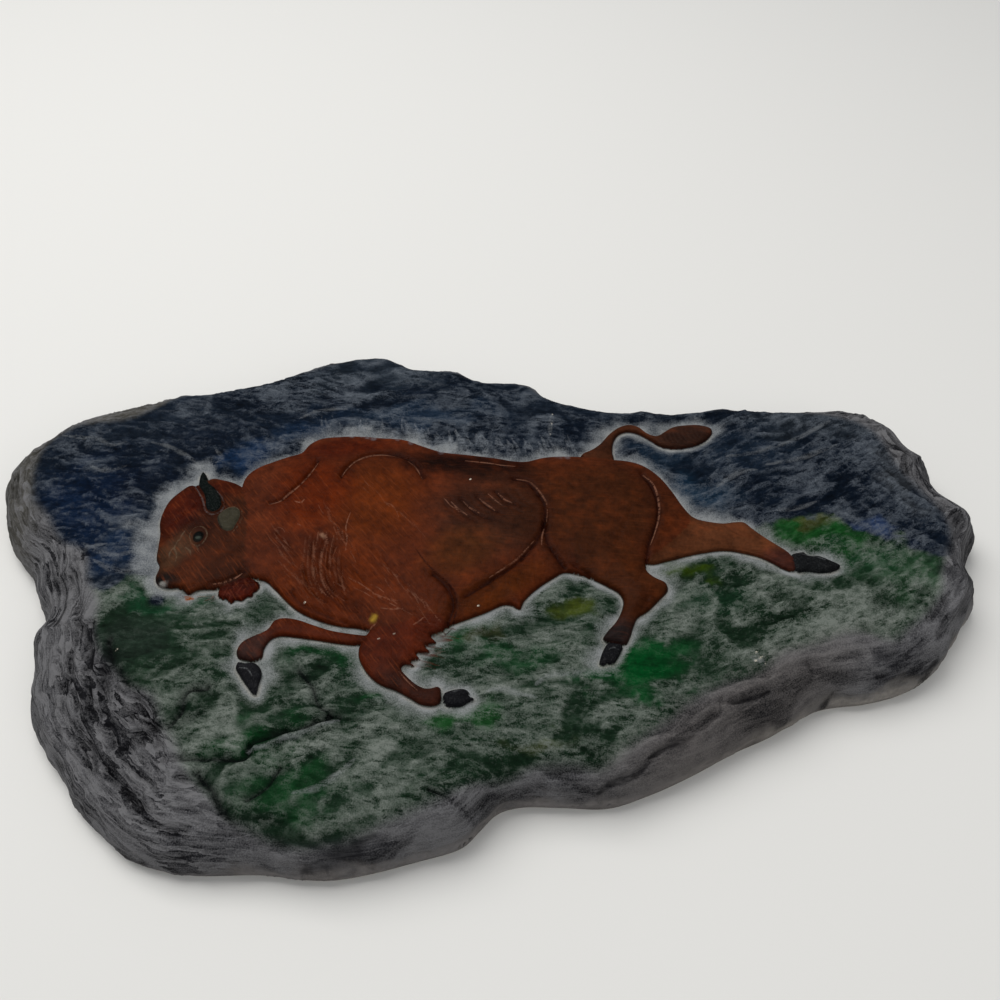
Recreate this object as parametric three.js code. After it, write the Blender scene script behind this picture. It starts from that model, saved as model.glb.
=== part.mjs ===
import * as THREE from 'three';

// A cast plaster wall plaque: a slab shaped like a weathered rock, with a bison in low relief on
// its painted front. Millimetres, +X to the right of the picture, +Z up, the front facing -Y.
// The flat back lies in the plane y = 0 and the origin is on it, behind the middle of the picture.

const slabDepth = 36;             // back to the general level of the picture
const sideDepth = 6;              // height of the slab's widest line above its back
const backInset = 3;              // how far the side curves in again below the widest line
const pictureZero = [-13, -66];   // the back's mounting point, as measured on the picture

// The ground is sunk beside the bison and rises to its level again over a width, which grows to
// the muzzle's width over the given run to the left of an upright line before the face.
const ground = { sunk: 2.6, width: 9, muzzleWidth: 19, muzzleLine: -165, muzzleRun: 25 };
const relief = { edge: 2.2, shoulder: 1.8 };    // step at a contour and the width it rounds over
const joint = { fill: 0.35, range: 0.7 };       // filling where two parts of one height meet
const calm = 30;                                // the ground's waves fade out over this width

// The ground's gentle waves: height, lengths across and up, and phase.
const waves = [[0.9, 38, 61, 0], [0.7, 57, -33, 1.3], [0.5, 21, 27, 0.4]];

// Spacing of the points along the lines, and the least distance that each kind keeps.
const step = { rim: 7.6, contour: 5.6, groove: 5.4, beside: 7, ground: 8, measure: 2.5 };
const apart = { ring: 4, contour: 1.3, groove: 1.5, beside: 4.6, ground: 5.3, groundToRing: 5.5 };
const edgeRings = [1.2, 3.4, 7, 12.5];          // rings of points up the rounded edge, from the rim
const contourFoot = 0.25;                       // outside a contour, where its step begins
const contourLip = 1.7;                         // inside a contour, where its step ends
const besideContour = { inside: 6.5, outside: 8.5 };
const scatter = 0.9;                            // how far open-ground points leave their grid

// Slab outline, clockwise from the left tip: across, up, and the width over which the edge rounds.
const slabOutline = [
  [-311, -2, 34], [-306.5, 17.5, 32], [-291.5, 35, 30], [-282.5, 45, 28], [-263.5, 53, 26],
  [-243.5, 61, 24], [-223, 66, 20], [-211.5, 70, 17], [-194.5, 71, 16], [-172, 77, 16],
  [-153, 84.5, 16], [-134.5, 95, 17], [-123, 103, 18], [-95, 110, 19], [-78, 109, 17],
  [-65.5, 103, 15], [-55.5, 96, 14], [-27.5, 93, 15], [-10.5, 83.5, 15], [12.5, 82, 15],
  [24.5, 77.5, 15], [35, 65.5, 14], [50.5, 59, 14], [78, 53, 14], [92, 55, 14], [110, 52, 14],
  [128.5, 55, 15], [144, 59, 16], [160, 58, 16], [185, 57, 17], [210, 59, 19], [225, 59, 20],
  [238.5, 54.5, 22], [257.5, 40, 25], [264, 23.5, 25], [271.8, 12, 24], [271, -13.5, 22],
  [284, -30.5, 20], [286, -43.5, 22], [273, -69.5, 24], [273.5, -86.5, 22], [267, -97.5, 20],
  [251, -118.5, 20], [240.5, -132, 22], [220, -144.5, 26], [199.5, -150.5, 26],
  [171.5, -155, 24], [143.2, -170.6, 22], [124.5, -179, 22], [99.5, -192.5, 22], [76.5, -203, 22],
  [54.5, -210, 22], [30, -209.5, 24], [10.5, -209.5, 22], [0.5, -212.5, 18], [-7.5, -220.5, 18],
  [-16.5, -229.5, 20], [-37.5, -236.5, 24], [-80, -246, 26], [-115, -243.5, 30],
  [-150, -243.5, 42], [-173.5, -238.5, 56], [-193, -226.5, 60], [-210, -212, 62],
  [-220, -199.5, 62], [-235, -181.5, 60], [-248.5, -160, 56], [-253.5, -140, 52],
  [-260, -115, 48], [-257, -103, 44], [-265, -90.5, 42], [-274, -71.5, 38], [-287, -57, 32],
  [-301.5, -34.5, 33],
];

// The bison's parts, each a closed contour: rise of its rounded middle and the width it takes.
// A base lifts a part over the one it lies on, and a small part has a finer step along its contour.
const bisonParts = {
  trunk: {
    rise: 3.8, reach: 34, points: [
      [-155, -19], [-153, -11], [-147, -4.5], [-139, 0], [-130, 4.5], [-123, 7.5], [-119, 14.5],
      [-112, 19.8], [-100, 21.6], [-88, 22], [-74, 20.5], [-60, 19], [-48, 13.5], [-36, 8.5],
      [-20, 6], [-2, 3], [8, 0.7], [16, 0.3], [25, 3.2], [33, 4.5], [55, 4], [69, 2], [80, 0.2],
      [88, -3.5], [96, -11.5], [102, -22], [107, -34], [112, -50], [100, -66], [70, -84],
      [50, -87], [36, -84.5], [30, -88], [20, -96], [13, -104], [10.5, -109.5], [7, -107],
      [2, -106.5], [-8, -111.5], [-18, -116], [-30, -121], [-60, -130], [-71, -123],
      [-88, -119.8], [-100, -115.6], [-110, -110], [-117, -103.5], [-124, -96], [-130, -90.5],
      [-137, -88.5], [-147, -84], [-152, -60], [-153, -32],
    ],
  },
  head: {
    rise: 3.4, reach: 24, points: [
      [-154, -21], [-160, -17.2], [-167, -15], [-173, -13.8], [-177, -16], [-181.5, -19.5],
      [-186, -19.5], [-191, -24.5], [-196, -32], [-198, -41], [-198, -49], [-196, -57],
      [-195, -66], [-194, -75], [-191, -81], [-191.5, -89], [-188, -94], [-182, -95.6],
      [-176, -95.5], [-171, -99.5], [-166, -97], [-156, -96], [-146, -92], [-138, -88],
      [-138, -70], [-141, -48], [-147, -32],
    ],
  },
  beard: {
    rise: 0.8, reach: 8, step: 4, points: [
      [-134, -91], [-134, -96], [-138, -101], [-144, -104.5], [-150, -103.5], [-155, -98.5],
      [-153, -92], [-145, -87],
    ],
  },
  horn: {
    base: 3.2, rise: 1.2, reach: 6, step: 4, points: [
      [-180.3, -8], [-177.2, -12.7], [-174.7, -19.5], [-169.3, -25], [-165.5, -30.5],
      [-163.3, -38], [-164.4, -41.5], [-167.4, -43.2], [-170.3, -42], [-171.9, -39], [-173, -34],
      [-175.2, -28.8], [-178.9, -23], [-181, -18.8], [-181.7, -14.3], [-181.4, -10.2],
    ],
  },
  ear: {
    base: 3.2, rise: 0.6, reach: 4, step: 3.6, points: [
      [-163.5, -47.8], [-162, -43.5], [-158, -40], [-154.5, -39.6], [-151.8, -42.4],
      [-151.2, -46.8], [-152.6, -53.4], [-153.9, -57.6], [-157.8, -57.2], [-161, -54],
    ],
  },
  eye: {
    base: 3, rise: 0.8, reach: 4, step: 3.6, points: [
      [-171.9, -57.2], [-167.5, -59.6], [-167.5, -64.6], [-171.9, -67], [-176.3, -64.6],
      [-176.5, -59.8],
    ],
  },
  farForeleg: {
    rise: 1.2, reach: 8, points: [
      [-121.5, -117], [-117, -115], [-109, -116], [-100, -119.4], [-90, -123], [-80, -125],
      [-70, -126.4], [-62, -128], [-74, -132], [-84, -131.4], [-96, -129.2], [-108, -127.3],
      [-117, -126.6], [-121.5, -129], [-124, -134.5], [-124.5, -140], [-127, -141.8],
      [-133, -141.5], [-136.5, -140], [-138.2, -135], [-136, -130], [-130, -126], [-124, -122.3],
    ],
  },
  farForeHoof: {
    rise: 1.2, reach: 6, step: 4, points: [
      [-136.3, -142.5], [-137, -146], [-134, -151], [-129.5, -157], [-124, -162.7],
      [-123, -156], [-122.5, -150], [-124.5, -145.5], [-128, -142.8], [-132, -143.3],
    ],
  },
  nearForeleg: {
    rise: 2.6, reach: 14, points: [
      [-62, -112], [-71, -126], [-74, -133], [-74, -139], [-71.5, -145], [-67, -151.5],
      [-61, -156.5], [-53, -160], [-46, -164], [-40, -167.8], [-34, -168.6], [-30.5, -167],
      [-29.8, -161], [-31, -157.2], [-37, -158.5], [-42, -156.5], [-47, -152], [-51, -147],
      [-51, -144.5], [-44, -145], [-47, -142.5], [-41.5, -141], [-44, -137.5], [-36.5, -136.5],
      [-40, -132.5], [-33.5, -130.5], [-37, -126.5], [-30, -123], [-26, -112], [-30, -98],
    ],
  },
  nearForeHoof: {
    rise: 1.4, reach: 6, step: 4, points: [
      [-28.3, -161], [-24, -159.2], [-18, -158.6], [-15.5, -160.5], [-16, -162.5],
      [-12.6, -164.3], [-16, -166.5], [-20, -168.6], [-27.5, -168], [-29, -164.5],
    ],
  },
  nearHindLeg: {
    rise: 4.2, reach: 30, points: [
      [60, -4], [80, -4], [86, -10], [90.7, -20], [93, -30], [92.4, -42], [89.2, -54], [85, -64],
      [82.7, -74], [82, -83], [86, -88], [92, -92], [92.3, -96.5], [87, -103], [80, -110.5],
      [74, -115], [71.5, -120], [69, -127], [66, -132], [61, -131], [55, -130], [54.8, -127.5],
      [58, -122.5], [62.5, -117], [66, -110], [67.3, -104], [65.5, -99], [60, -94.5], [52, -89.5],
      [44, -85], [36, -79], [30, -68], [28, -55], [32, -35], [42, -16],
    ],
  },
  nearHindHoof: {
    rise: 1.4, reach: 6, step: 4, points: [
      [57, -130.9], [54.5, -134.5], [52.3, -140], [51.6, -144], [54, -145], [56.8, -143],
      [58.2, -144.5], [61, -141.5], [63.7, -136.5], [65, -132.7], [61.5, -131.3],
    ],
  },
  farHindLeg: {
    rise: 1.6, reach: 14, points: [
      [98, -22], [103, -27], [108, -36], [113.5, -44.5], [121, -47.3], [130, -48.7], [136, -47.8],
      [142, -47.9], [146, -52.5], [152, -59], [159, -65.5], [164, -70.5], [166, -76],
      [164.5, -83.5], [160, -82.5], [154, -78], [147, -73.5], [138, -70.5], [128, -68.7],
      [117, -70], [107, -72.3], [96, -75.7], [83, -78], [80, -60], [88, -38],
    ],
  },
  farHindHoof: {
    rise: 1.4, reach: 6, step: 4, points: [
      [165.5, -71.5], [169.5, -70.5], [172.5, -69.9], [173.8, -72.3], [180, -72.8], [186, -76],
      [191.3, -80], [187, -83.3], [180, -84.6], [171, -83.6], [165.5, -83.8], [164, -78],
    ],
  },
  tail: {
    rise: 1.2, reach: 6, points: [
      [50, 6], [57, 11], [62, 15.5], [69, 25], [76, 31], [82, 32.8], [88, 30.6], [93, 25],
      [98, 22.7], [103, 26], [109, 30.5], [118, 32.4], [128, 32.2], [134.3, 28.5], [131, 21.5],
      [124, 16], [116, 13], [107, 12.2], [100, 14.3], [94, 19.5], [87, 25], [80, 26.7],
      [74.5, 24], [71, 18], [69.7, 10], [69.5, 0], [60, -3],
    ],
  },
};

// Carved lines: width and depth of each groove, and its course.
const carvedLines = [
  { // round the top of the shoulder
    width: 4, depth: 1.3,
    points: [[-95.5, -16], [-93, -9], [-87, -1], [-77, 3.5], [-67, 3.5], [-57, 0], [-50, -8], [-46, -17]],
  },
  { // neck
    width: 3.4, depth: 0.9,
    points: [[-135.5, -36.5], [-128.5, -34], [-120.5, -23], [-113.5, -10.5], [-111, -1.5]],
  },
  { // folds of the chest
    width: 4, depth: 1.2,
    points: [[-99, -58], [-101, -77], [-97.5, -93.5], [-89, -107.5], [-76, -113.5]],
  },
  {
    width: 4, depth: 1.2,
    points: [[-108, -60], [-107, -79], [-103, -94], [-95.5, -106], [-84, -116]],
  },
  { // end of the ribs, down to the belly
    width: 4, depth: 1.4,
    points: [
      [8, -17], [16, -19], [22, -29], [26, -38], [26, -49], [20.5, -65], [10, -80], [-5, -92.5],
      [-19, -103],
    ],
  },
  { // front of the thigh
    width: 4, depth: 1.4,
    points: [[26, -49], [26.5, -64], [30.5, -73.5], [36, -82.5]],
  },
  { // back of the thigh
    width: 4, depth: 1.6,
    points: [[85, -11.5], [90, -21.5], [92.5, -33], [92, -45], [88.5, -57], [84.5, -66], [82.5, -76.5]],
  },
  { // behind the elbow
    width: 4, depth: 1.3,
    points: [[-37.5, -88], [-29.5, -96.5], [-26, -104], [-25.5, -111], [-28, -119.5]],
  },
  { // jaw
    width: 3.4, depth: 1,
    points: [[-142, -85.5], [-149, -91], [-160, -94]],
  },
  { // above the beard
    width: 4, depth: 1.4,
    points: [[-164, -97], [-150, -92], [-140, -90], [-131, -91.5]],
  },
  { // between the chest and the far foreleg
    width: 4, depth: 1.2,
    points: [[-113, -112], [-100, -117.5], [-89, -121.4], [-72, -124.7], [-64.5, -121.5], [-64, -116]],
  },
  { // round the foot of the horn
    width: 3.6, depth: 1.2,
    points: [[-182.5, -21.5], [-178, -28.5], [-174.3, -35.5], [-172, -41.5], [-167.8, -45], [-163, -42]],
  },
  { // cracks in the rock at the lower left
    width: 7, depth: 3,
    points: [[-207, -128], [-201, -144], [-192, -154], [-178, -170], [-166, -178]],
  },
  {
    width: 7, depth: 3,
    points: [[-199, -158], [-197, -171], [-190, -182], [-181, -200]],
  },
  {
    width: 7, depth: 2.6,
    points: [[-176, -178], [-168, -187], [-160, -197], [-142, -197], [-124, -196]],
  },
  {
    width: 7, depth: 3,
    points: [[-160, -200], [-149, -205], [-138, -216], [-126, -227]],
  },
  {
    width: 8, depth: 3,
    points: [[-240, -84], [-228, -112], [-224, -140], [-214, -166], [-196, -196], [-172, -218]],
  },
];

// A smooth line through the given points, as points about one pitch apart (centripetal spline).
function smoothLine(points, pitch, closed = true) {
  const count = points.length;
  const at = (i) => points[closed ? (i + count) % count : Math.min(Math.max(i, 0), count - 1)];
  const gap = (p, q) => Math.sqrt(Math.hypot(p[0] - q[0], p[1] - q[1]));
  const samples = 16;
  const fine = [];
  for (let i = 0; i < (closed ? count : count - 1); i++) {
    const [before, from, to, after] = [at(i - 1), at(i), at(i + 1), at(i + 2)];
    const middle = gap(from, to);
    const first = gap(before, from) || middle;
    const last = gap(to, after) || middle;
    for (let k = 0; k < samples; k++) {
      const t = k / samples;
      fine.push(from.map((value, axis) => {
        const [a, b, c, d] = [before[axis], value, to[axis], after[axis]];
        const leave = ((b - a) / first - (c - a) / (first + middle) + (c - b) / middle) * middle;
        const arrive = ((c - b) / middle - (d - b) / (middle + last) + (d - c) / last) * middle;
        return (2 * t ** 3 - 3 * t ** 2 + 1) * b + (t ** 3 - 2 * t ** 2 + t) * leave
          + (3 * t ** 2 - 2 * t ** 3) * c + (t ** 3 - t ** 2) * arrive;
      }));
    }
  }
  if (!closed) fine.push(points[count - 1]);
  const lengths = [0];
  const total = closed ? fine.length : fine.length - 1;
  for (let i = 0; i < total; i++) {
    const [p, q] = [fine[i], fine[(i + 1) % fine.length]];
    lengths.push(lengths[i] + Math.hypot(q[0] - p[0], q[1] - p[1]));
  }
  const pieces = Math.max(2, Math.round(lengths[total] / pitch));
  const line = [];
  let i = 0;
  for (let k = 0; k < (closed ? pieces : pieces + 1); k++) {
    const target = Math.min((lengths[total] * k) / pieces, lengths[total] - 1e-9);
    while (lengths[i + 1] < target) i++;
    const share = (target - lengths[i]) / (lengths[i + 1] - lengths[i]);
    const [p, q] = [fine[i], fine[(i + 1) % fine.length]];
    line.push(p.map((value, axis) => value + (q[axis] - value) * share));
  }
  return line;
}

// Distance to a line, and a loop's third number at the nearest point.
function nearest(line, x, z, closed = true) {
  let best = { distance: Infinity, third: 0 };
  for (let i = 0; i < (closed ? line.length : line.length - 1); i++) {
    const [p, q] = [line[i], line[(i + 1) % line.length]];
    const [dx, dz] = [q[0] - p[0], q[1] - p[1]];
    const share = Math.min(Math.max(((x - p[0]) * dx + (z - p[1]) * dz) / (dx * dx + dz * dz), 0), 1);
    const distance = Math.hypot(x - p[0] - dx * share, z - p[1] - dz * share);
    const third = (p[2] ?? 0) + ((q[2] ?? 0) - (p[2] ?? 0)) * share;
    if (distance < best.distance) best = { distance, third };
  }
  return best;
}

function isInside(loop, x, z) {
  let inside = false;
  for (let i = 0, j = loop.length - 1; i < loop.length; j = i++) {
    const [[ax, az], [bx, bz]] = [loop[i], loop[j]];
    if ((az > z) !== (bz > z) && x < ((bx - ax) * (z - az)) / (bz - az) + ax) inside = !inside;
  }
  return inside;
}

const ease = (t) => {
  const s = Math.min(Math.max(t, 0), 1);
  return s * s * (3 - 2 * s);
};
const roundUp = (t) => Math.sqrt(1 - (1 - Math.min(Math.max(t, 0), 1)) ** 2);

// Counter-clockwise as seen from the front.
const rimLoop = smoothLine(slabOutline, step.rim).reverse();
const parts = Object.values(bisonParts)
  .map((part) => ({ ...part, loop: smoothLine(part.points, step.measure) }));
const grooves = carvedLines
  .map((line) => ({ ...line, path: smoothLine(line.points, step.measure, false) }));

const swell = (x, z) => waves.reduce(
  (sum, [height, across, up, phase]) => sum + height * Math.sin(x / across + z / up + phase),
  0,
);

// How far a part of the bison stands above the sunk ground at a distance inside its contour.
const standing = (part, within) => (relief.edge + (part.base ?? 0)) * roundUp(within / relief.shoulder)
  + part.rise * roundUp(within / part.reach);

// Height of the front above the back at a place on the picture.
function frontHeight(x, z) {
  const rim = nearest(rimLoop, x, z);
  let outside = Infinity;
  let bison = 0;
  for (const part of parts) {
    const { distance } = nearest(part.loop, x, z);
    if (isInside(part.loop, x, z)) {
      outside = 0;
      const height = standing(part, distance);
      const closeness = Math.max(0, 1 - Math.abs(bison - height) / joint.range);
      bison = Math.max(bison, height) + joint.fill * closeness ** 2;
    } else outside = Math.min(outside, distance);
  }
  const beforeFace = ease((ground.muzzleLine - x) / ground.muzzleRun);
  const width = ground.width + (ground.muzzleWidth - ground.width) * beforeFace;
  const sunk = ground.sunk * (1 - ease(outside / width));
  let height = slabDepth + swell(x, z) * ease(outside / calm) - sunk + bison;
  for (const groove of grooves) {
    const { distance } = nearest(groove.path, x, z, false);
    height -= groove.depth * (1 - ease(distance / (groove.width / 2)));
  }
  return sideDepth + (height - sideDepth) * roundUp(rim.distance / rim.third);
}

// The rim moved inward, its direction evened out over the neighbouring points.
function insetRim(inset) {
  const count = rimLoop.length;
  return rimLoop.map((point, i) => {
    let [sx, sz] = [0, 0];
    for (let k = -2; k < 2; k++) {
      const [p, q] = [rimLoop[(i + k + count) % count], rimLoop[(i + k + 1 + count) % count]];
      sx -= q[1] - p[1];
      sz += q[0] - p[0];
    }
    const size = Math.hypot(sx, sz);
    return [point[0] + (sx / size) * inset, point[1] + (sz / size) * inset];
  });
}

// Delaunay triangles of points in the plane, counter-clockwise.
function triangulate(points) {
  const far = 1e5;
  const all = [...points, [-far, -far], [far, -far], [0, far]];
  const withCircle = (a, b, c) => {
    const [[ax, az], [bx, bz], [cx, cz]] = [all[a], all[b], all[c]];
    const twice = 2 * ((bx - ax) * (cz - az) - (bz - az) * (cx - ax));
    const [ab, ac] = [(bx - ax) ** 2 + (bz - az) ** 2, (cx - ax) ** 2 + (cz - az) ** 2];
    const ux = (ab * (cz - az) - ac * (bz - az)) / twice;
    const uz = (ac * (bx - ax) - ab * (cx - ax)) / twice;
    return { corners: [a, b, c], x: ax + ux, z: az + uz, square: ux * ux + uz * uz };
  };
  let triangles = [withCircle(points.length, points.length + 1, points.length + 2)];
  points.forEach(([x, z], index) => {
    const edges = new Map();
    triangles = triangles.filter((triangle) => {
      if ((x - triangle.x) ** 2 + (z - triangle.z) ** 2 >= triangle.square) return true;
      const [a, b, c] = triangle.corners;
      for (const [p, q] of [[a, b], [b, c], [c, a]]) {
        if (!edges.delete(`${q},${p}`)) edges.set(`${p},${q}`, [p, q]);
      }
      return false;
    });
    for (const [p, q] of edges.values()) triangles.push(withCircle(p, q, index));
  });
  return triangles
    .map((triangle) => triangle.corners)
    .filter((corners) => Math.max(...corners) < points.length);
}

// Points of the picture inside the innermost ring: contours and carved lines first, then open ground.
// A point is left out where it would lie too close to the ring or to one that is there already.
const rings = edgeRings.map(insetRim);
const innerRing = rings[rings.length - 1];
const chosen = innerRing.map((point) => [...point]);
function offer(x, z, spacing, toRing = apart.ring) {
  if (!isInside(innerRing, x, z) || nearest(innerRing, x, z).distance < toRing) return;
  if (chosen.some(([px, pz]) => Math.hypot(px - x, pz - z) < spacing)) return;
  chosen.push([x, z]);
}
const alongside = (line, offset, closed = true) => line.map((point, i) => {
  const [p, q] = closed
    ? [line[(i - 1 + line.length) % line.length], line[(i + 1) % line.length]]
    : [line[Math.max(i - 1, 0)], line[Math.min(i + 1, line.length - 1)]];
  const size = Math.hypot(q[0] - p[0], q[1] - p[1]);
  return [point[0] - ((q[1] - p[1]) / size) * offset, point[1] + ((q[0] - p[0]) / size) * offset];
});
const depthInParts = (x, z, except) => Math.max(-Infinity, ...parts
  .filter((part) => part !== except && isInside(part.loop, x, z))
  .map((part) => nearest(part.loop, x, z).distance));
for (const part of parts) {
  const contour = smoothLine(part.points, part.step ?? step.contour);
  const foot = alongside(contour, contourFoot);
  const lip = alongside(contour, -contourLip);
  contour.forEach(([x, z], i) => {
    if (!part.base && depthInParts(x, z, part) > contourLip) return;
    offer(...foot[i], apart.contour);
    offer(...lip[i], apart.contour);
  });
}
for (const groove of grooves) {
  const path = smoothLine(groove.points, step.groove, false);
  for (const offset of [0, groove.width / 2, -groove.width / 2]) {
    for (const point of alongside(path, offset, false)) offer(...point, apart.groove);
  }
}
for (const part of parts) {
  const contour = smoothLine(part.points, step.beside);
  for (const point of alongside(contour, -besideContour.inside)) {
    if (depthInParts(...point, part) < besideContour.inside / 2) offer(...point, apart.beside);
  }
  for (const point of alongside(contour, besideContour.outside)) {
    if (depthInParts(...point) < 0) offer(...point, apart.beside);
  }
}
const extent = new THREE.Box2().setFromPoints(rimLoop.map(([x, z]) => new THREE.Vector2(x, z)));
const rowStep = step.ground * Math.sin(Math.PI / 3);
for (let row = 0; extent.min.y + row * rowStep < extent.max.y; row++) {
  const z = extent.min.y + row * rowStep;
  const shift = row % 2 ? step.ground / 2 : 0;
  for (let x = extent.min.x + shift; x < extent.max.x; x += step.ground) {
    const [dx, dz] = [scatter * Math.sin(z * 1.7 + x), scatter * Math.sin(x * 1.3 - z)];
    offer(x + dx, z + dz, apart.ground, apart.groundToRing);
  }
}

// Vertices: back edge, widest line, rings up the rounded edge, then the picture.
const positions = [];
const addPoint = ([x, z], height) => {
  positions.push(x - pictureZero[0], -height, z - pictureZero[1]);
  return positions.length / 3 - 1;
};
const backRing = insetRim(backInset).map((point) => addPoint(point, 0));
const wideRing = rimLoop.map((point) => addPoint(point, sideDepth));
const addFront = (point) => addPoint(point, frontHeight(...point));
const sideRings = rings.slice(0, -1).map((ring) => ring.map(addFront));
const picture = chosen.map(addFront);
const count = rimLoop.length;
const triangles = [];
const rows = [backRing, wideRing, ...sideRings, picture.slice(0, count)];
for (let row = 0; row + 1 < rows.length; row++) {
  for (let i = 0; i < count; i++) {
    const next = (i + 1) % count;
    const [a, b, c, d] = [rows[row][i], rows[row][next], rows[row + 1][next], rows[row + 1][i]];
    triangles.push([a, b, c], [a, c, d]);
  }
}
// A hair's breadth of unevenness keeps four points off one circle.
const unevenness = 0.01;
const plan = chosen.map(([x, z], i) => [
  x + unevenness * Math.sin(i * 13),
  z + unevenness * Math.sin(i * 13 + 6.5),
]);
for (const corners of triangulate(plan)) {
  const [x, z] = [0, 1].map((axis) => corners.reduce((sum, i) => sum + plan[i][axis] / 3, 0));
  if (isInside(innerRing, x, z)) triangles.push(corners.map((i) => picture[i]));
}
const backPlan = backRing.map((i) => new THREE.Vector2(positions[3 * i], positions[3 * i + 2]));
for (const [a, b, c] of THREE.ShapeUtils.triangulateShape(backPlan, [])) {
  triangles.push([backRing[a], backRing[c], backRing[b]]);
}

const plaqueGeometry = new THREE.BufferGeometry();
plaqueGeometry.setAttribute('position', new THREE.Float32BufferAttribute(positions, 3));
plaqueGeometry.setIndex(triangles.flat());
plaqueGeometry.computeVertexNormals();

const paintedPlaster = new THREE.MeshStandardMaterial({ color: '#4c4f4c', roughness: 0.55, metalness: 0 });
const plaque = new THREE.Mesh(plaqueGeometry, paintedPlaster);
plaque.name = 'plaque';

const model = new THREE.Group();
model.add(plaque);
export default model;
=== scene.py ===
# A cast plaster wall plaque: a slab like a weathered rock, with a running bison in low relief on
# its painted front. The flat back is on the wall plane y = 0, and the picture faces -Y.

import math

import bmesh
import bpy
import numpy as np
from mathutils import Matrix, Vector, geometry, kdtree, noise


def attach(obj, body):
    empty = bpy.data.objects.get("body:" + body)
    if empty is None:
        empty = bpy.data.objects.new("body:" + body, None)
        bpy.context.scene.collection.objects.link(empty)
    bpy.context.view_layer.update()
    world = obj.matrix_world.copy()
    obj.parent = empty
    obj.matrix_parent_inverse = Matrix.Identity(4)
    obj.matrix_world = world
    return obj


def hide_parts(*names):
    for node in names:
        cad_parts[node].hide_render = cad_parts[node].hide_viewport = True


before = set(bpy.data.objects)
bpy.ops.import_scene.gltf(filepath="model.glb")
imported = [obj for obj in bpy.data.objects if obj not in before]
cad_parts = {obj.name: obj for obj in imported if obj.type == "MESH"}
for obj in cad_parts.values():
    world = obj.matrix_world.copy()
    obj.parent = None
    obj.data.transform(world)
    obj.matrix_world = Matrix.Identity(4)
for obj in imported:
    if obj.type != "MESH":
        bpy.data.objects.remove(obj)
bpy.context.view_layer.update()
mm = 0.001

# Everything below is measured on the picture in millimetres: across from left to right, and up.

slab = {
    "zero": (-13, -66),        # the hanging point behind the picture, as measured on it
    "depth": 36,               # back to the general level of the picture
    "top": 39.8,               # back to the highest point
    "sideDepth": 6,            # height of the widest line above the back
    "backInset": 3,            # how far the side curves in again below the widest line
    "skin": 0.4,               # how far this surface keeps inside the outline
    "roughSide": 1.6,          # how far dents go into the side
    # Outline: across, up, and the width over which the edge rounds, clockwise from the top.
    "outline": [
        (50.5, 59, 14), (78, 53, 14), (92, 55, 14), (110, 52, 14), (128.5, 55, 15), (144, 59, 16),
        (160, 58, 16), (185, 57, 17), (210, 59, 19), (225, 59, 20), (238.5, 54.5, 22),
        (257.5, 40, 25), (264, 23.5, 25), (271.8, 12, 24), (271, -13.5, 22), (284, -30.5, 20),
        (286, -43.5, 22), (273, -69.5, 24), (273.5, -86.5, 22), (267, -97.5, 20),
        (251, -118.5, 20), (240.5, -132, 22), (220, -144.5, 26), (199.5, -150.5, 26),
        (171.5, -155, 24), (143.2, -170.6, 22), (124.5, -179, 22), (99.5, -192.5, 22),
        (76.5, -203, 22), (54.5, -210, 22), (30, -209.5, 24), (10.5, -209.5, 22),
        (0.5, -212.5, 18), (-7.5, -220.5, 18), (-16.5, -229.5, 20), (-37.5, -236.5, 24),
        (-80, -246, 26), (-115, -243.5, 30), (-150, -243.5, 42), (-173.5, -238.5, 56),
        (-193, -226.5, 60), (-210, -212, 62), (-220, -199.5, 62), (-235, -181.5, 60),
        (-248.5, -160, 56), (-253.5, -140, 52), (-260, -115, 48), (-257, -103, 44),
        (-265, -90.5, 42), (-274, -71.5, 38), (-287, -57, 32), (-301.5, -34.5, 33),
        (-311, -2, 34), (-306.5, 17.5, 32), (-291.5, 35, 30), (-282.5, 45, 28), (-263.5, 53, 26),
        (-243.5, 61, 24), (-223, 66, 20), (-211.5, 70, 17), (-194.5, 71, 16), (-172, 77, 16),
        (-153, 84.5, 16), (-134.5, 95, 17), (-123, 103, 18), (-95, 110, 19), (-78, 109, 17),
        (-65.5, 103, 15), (-55.5, 96, 14), (-27.5, 93, 15), (-10.5, 83.5, 15), (12.5, 82, 15),
        (24.5, 77.5, 15), (35, 65.5, 14),
    ],
    # Where the painted picture ends and bare rock begins.
    "paintEdge": [
        (-276, 26), (-234, 38), (-205, 60), (-172, 71), (-134, 83), (-108, 97), (-81, 100),
        (-67, 92), (-33, 84), (13, 73), (39, 56), (64, 49), (103, 47), (142, 50), (181, 49),
        (215, 42), (231, 30), (240, 16), (248, -12), (256, -30), (258, -53), (250, -80),
        (244, -98), (234, -109), (221, -120), (208, -128), (190, -127), (170, -132), (148, -139),
        (126, -152), (104, -160), (88, -174), (70, -188), (48, -203), (34, -200), (14, -198),
        (-2, -205), (-18, -216), (-40, -223), (-62, -233), (-85, -237), (-110, -234),
        (-128, -226), (-135, -216), (-147, -203), (-165, -184), (-177, -165), (-193, -153),
        (-207, -138), (-218, -116), (-222, -103), (-228, -89), (-236, -70), (-250, -63),
        (-269, -38), (-279, -22), (-285, 9),
    ],
}

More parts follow.
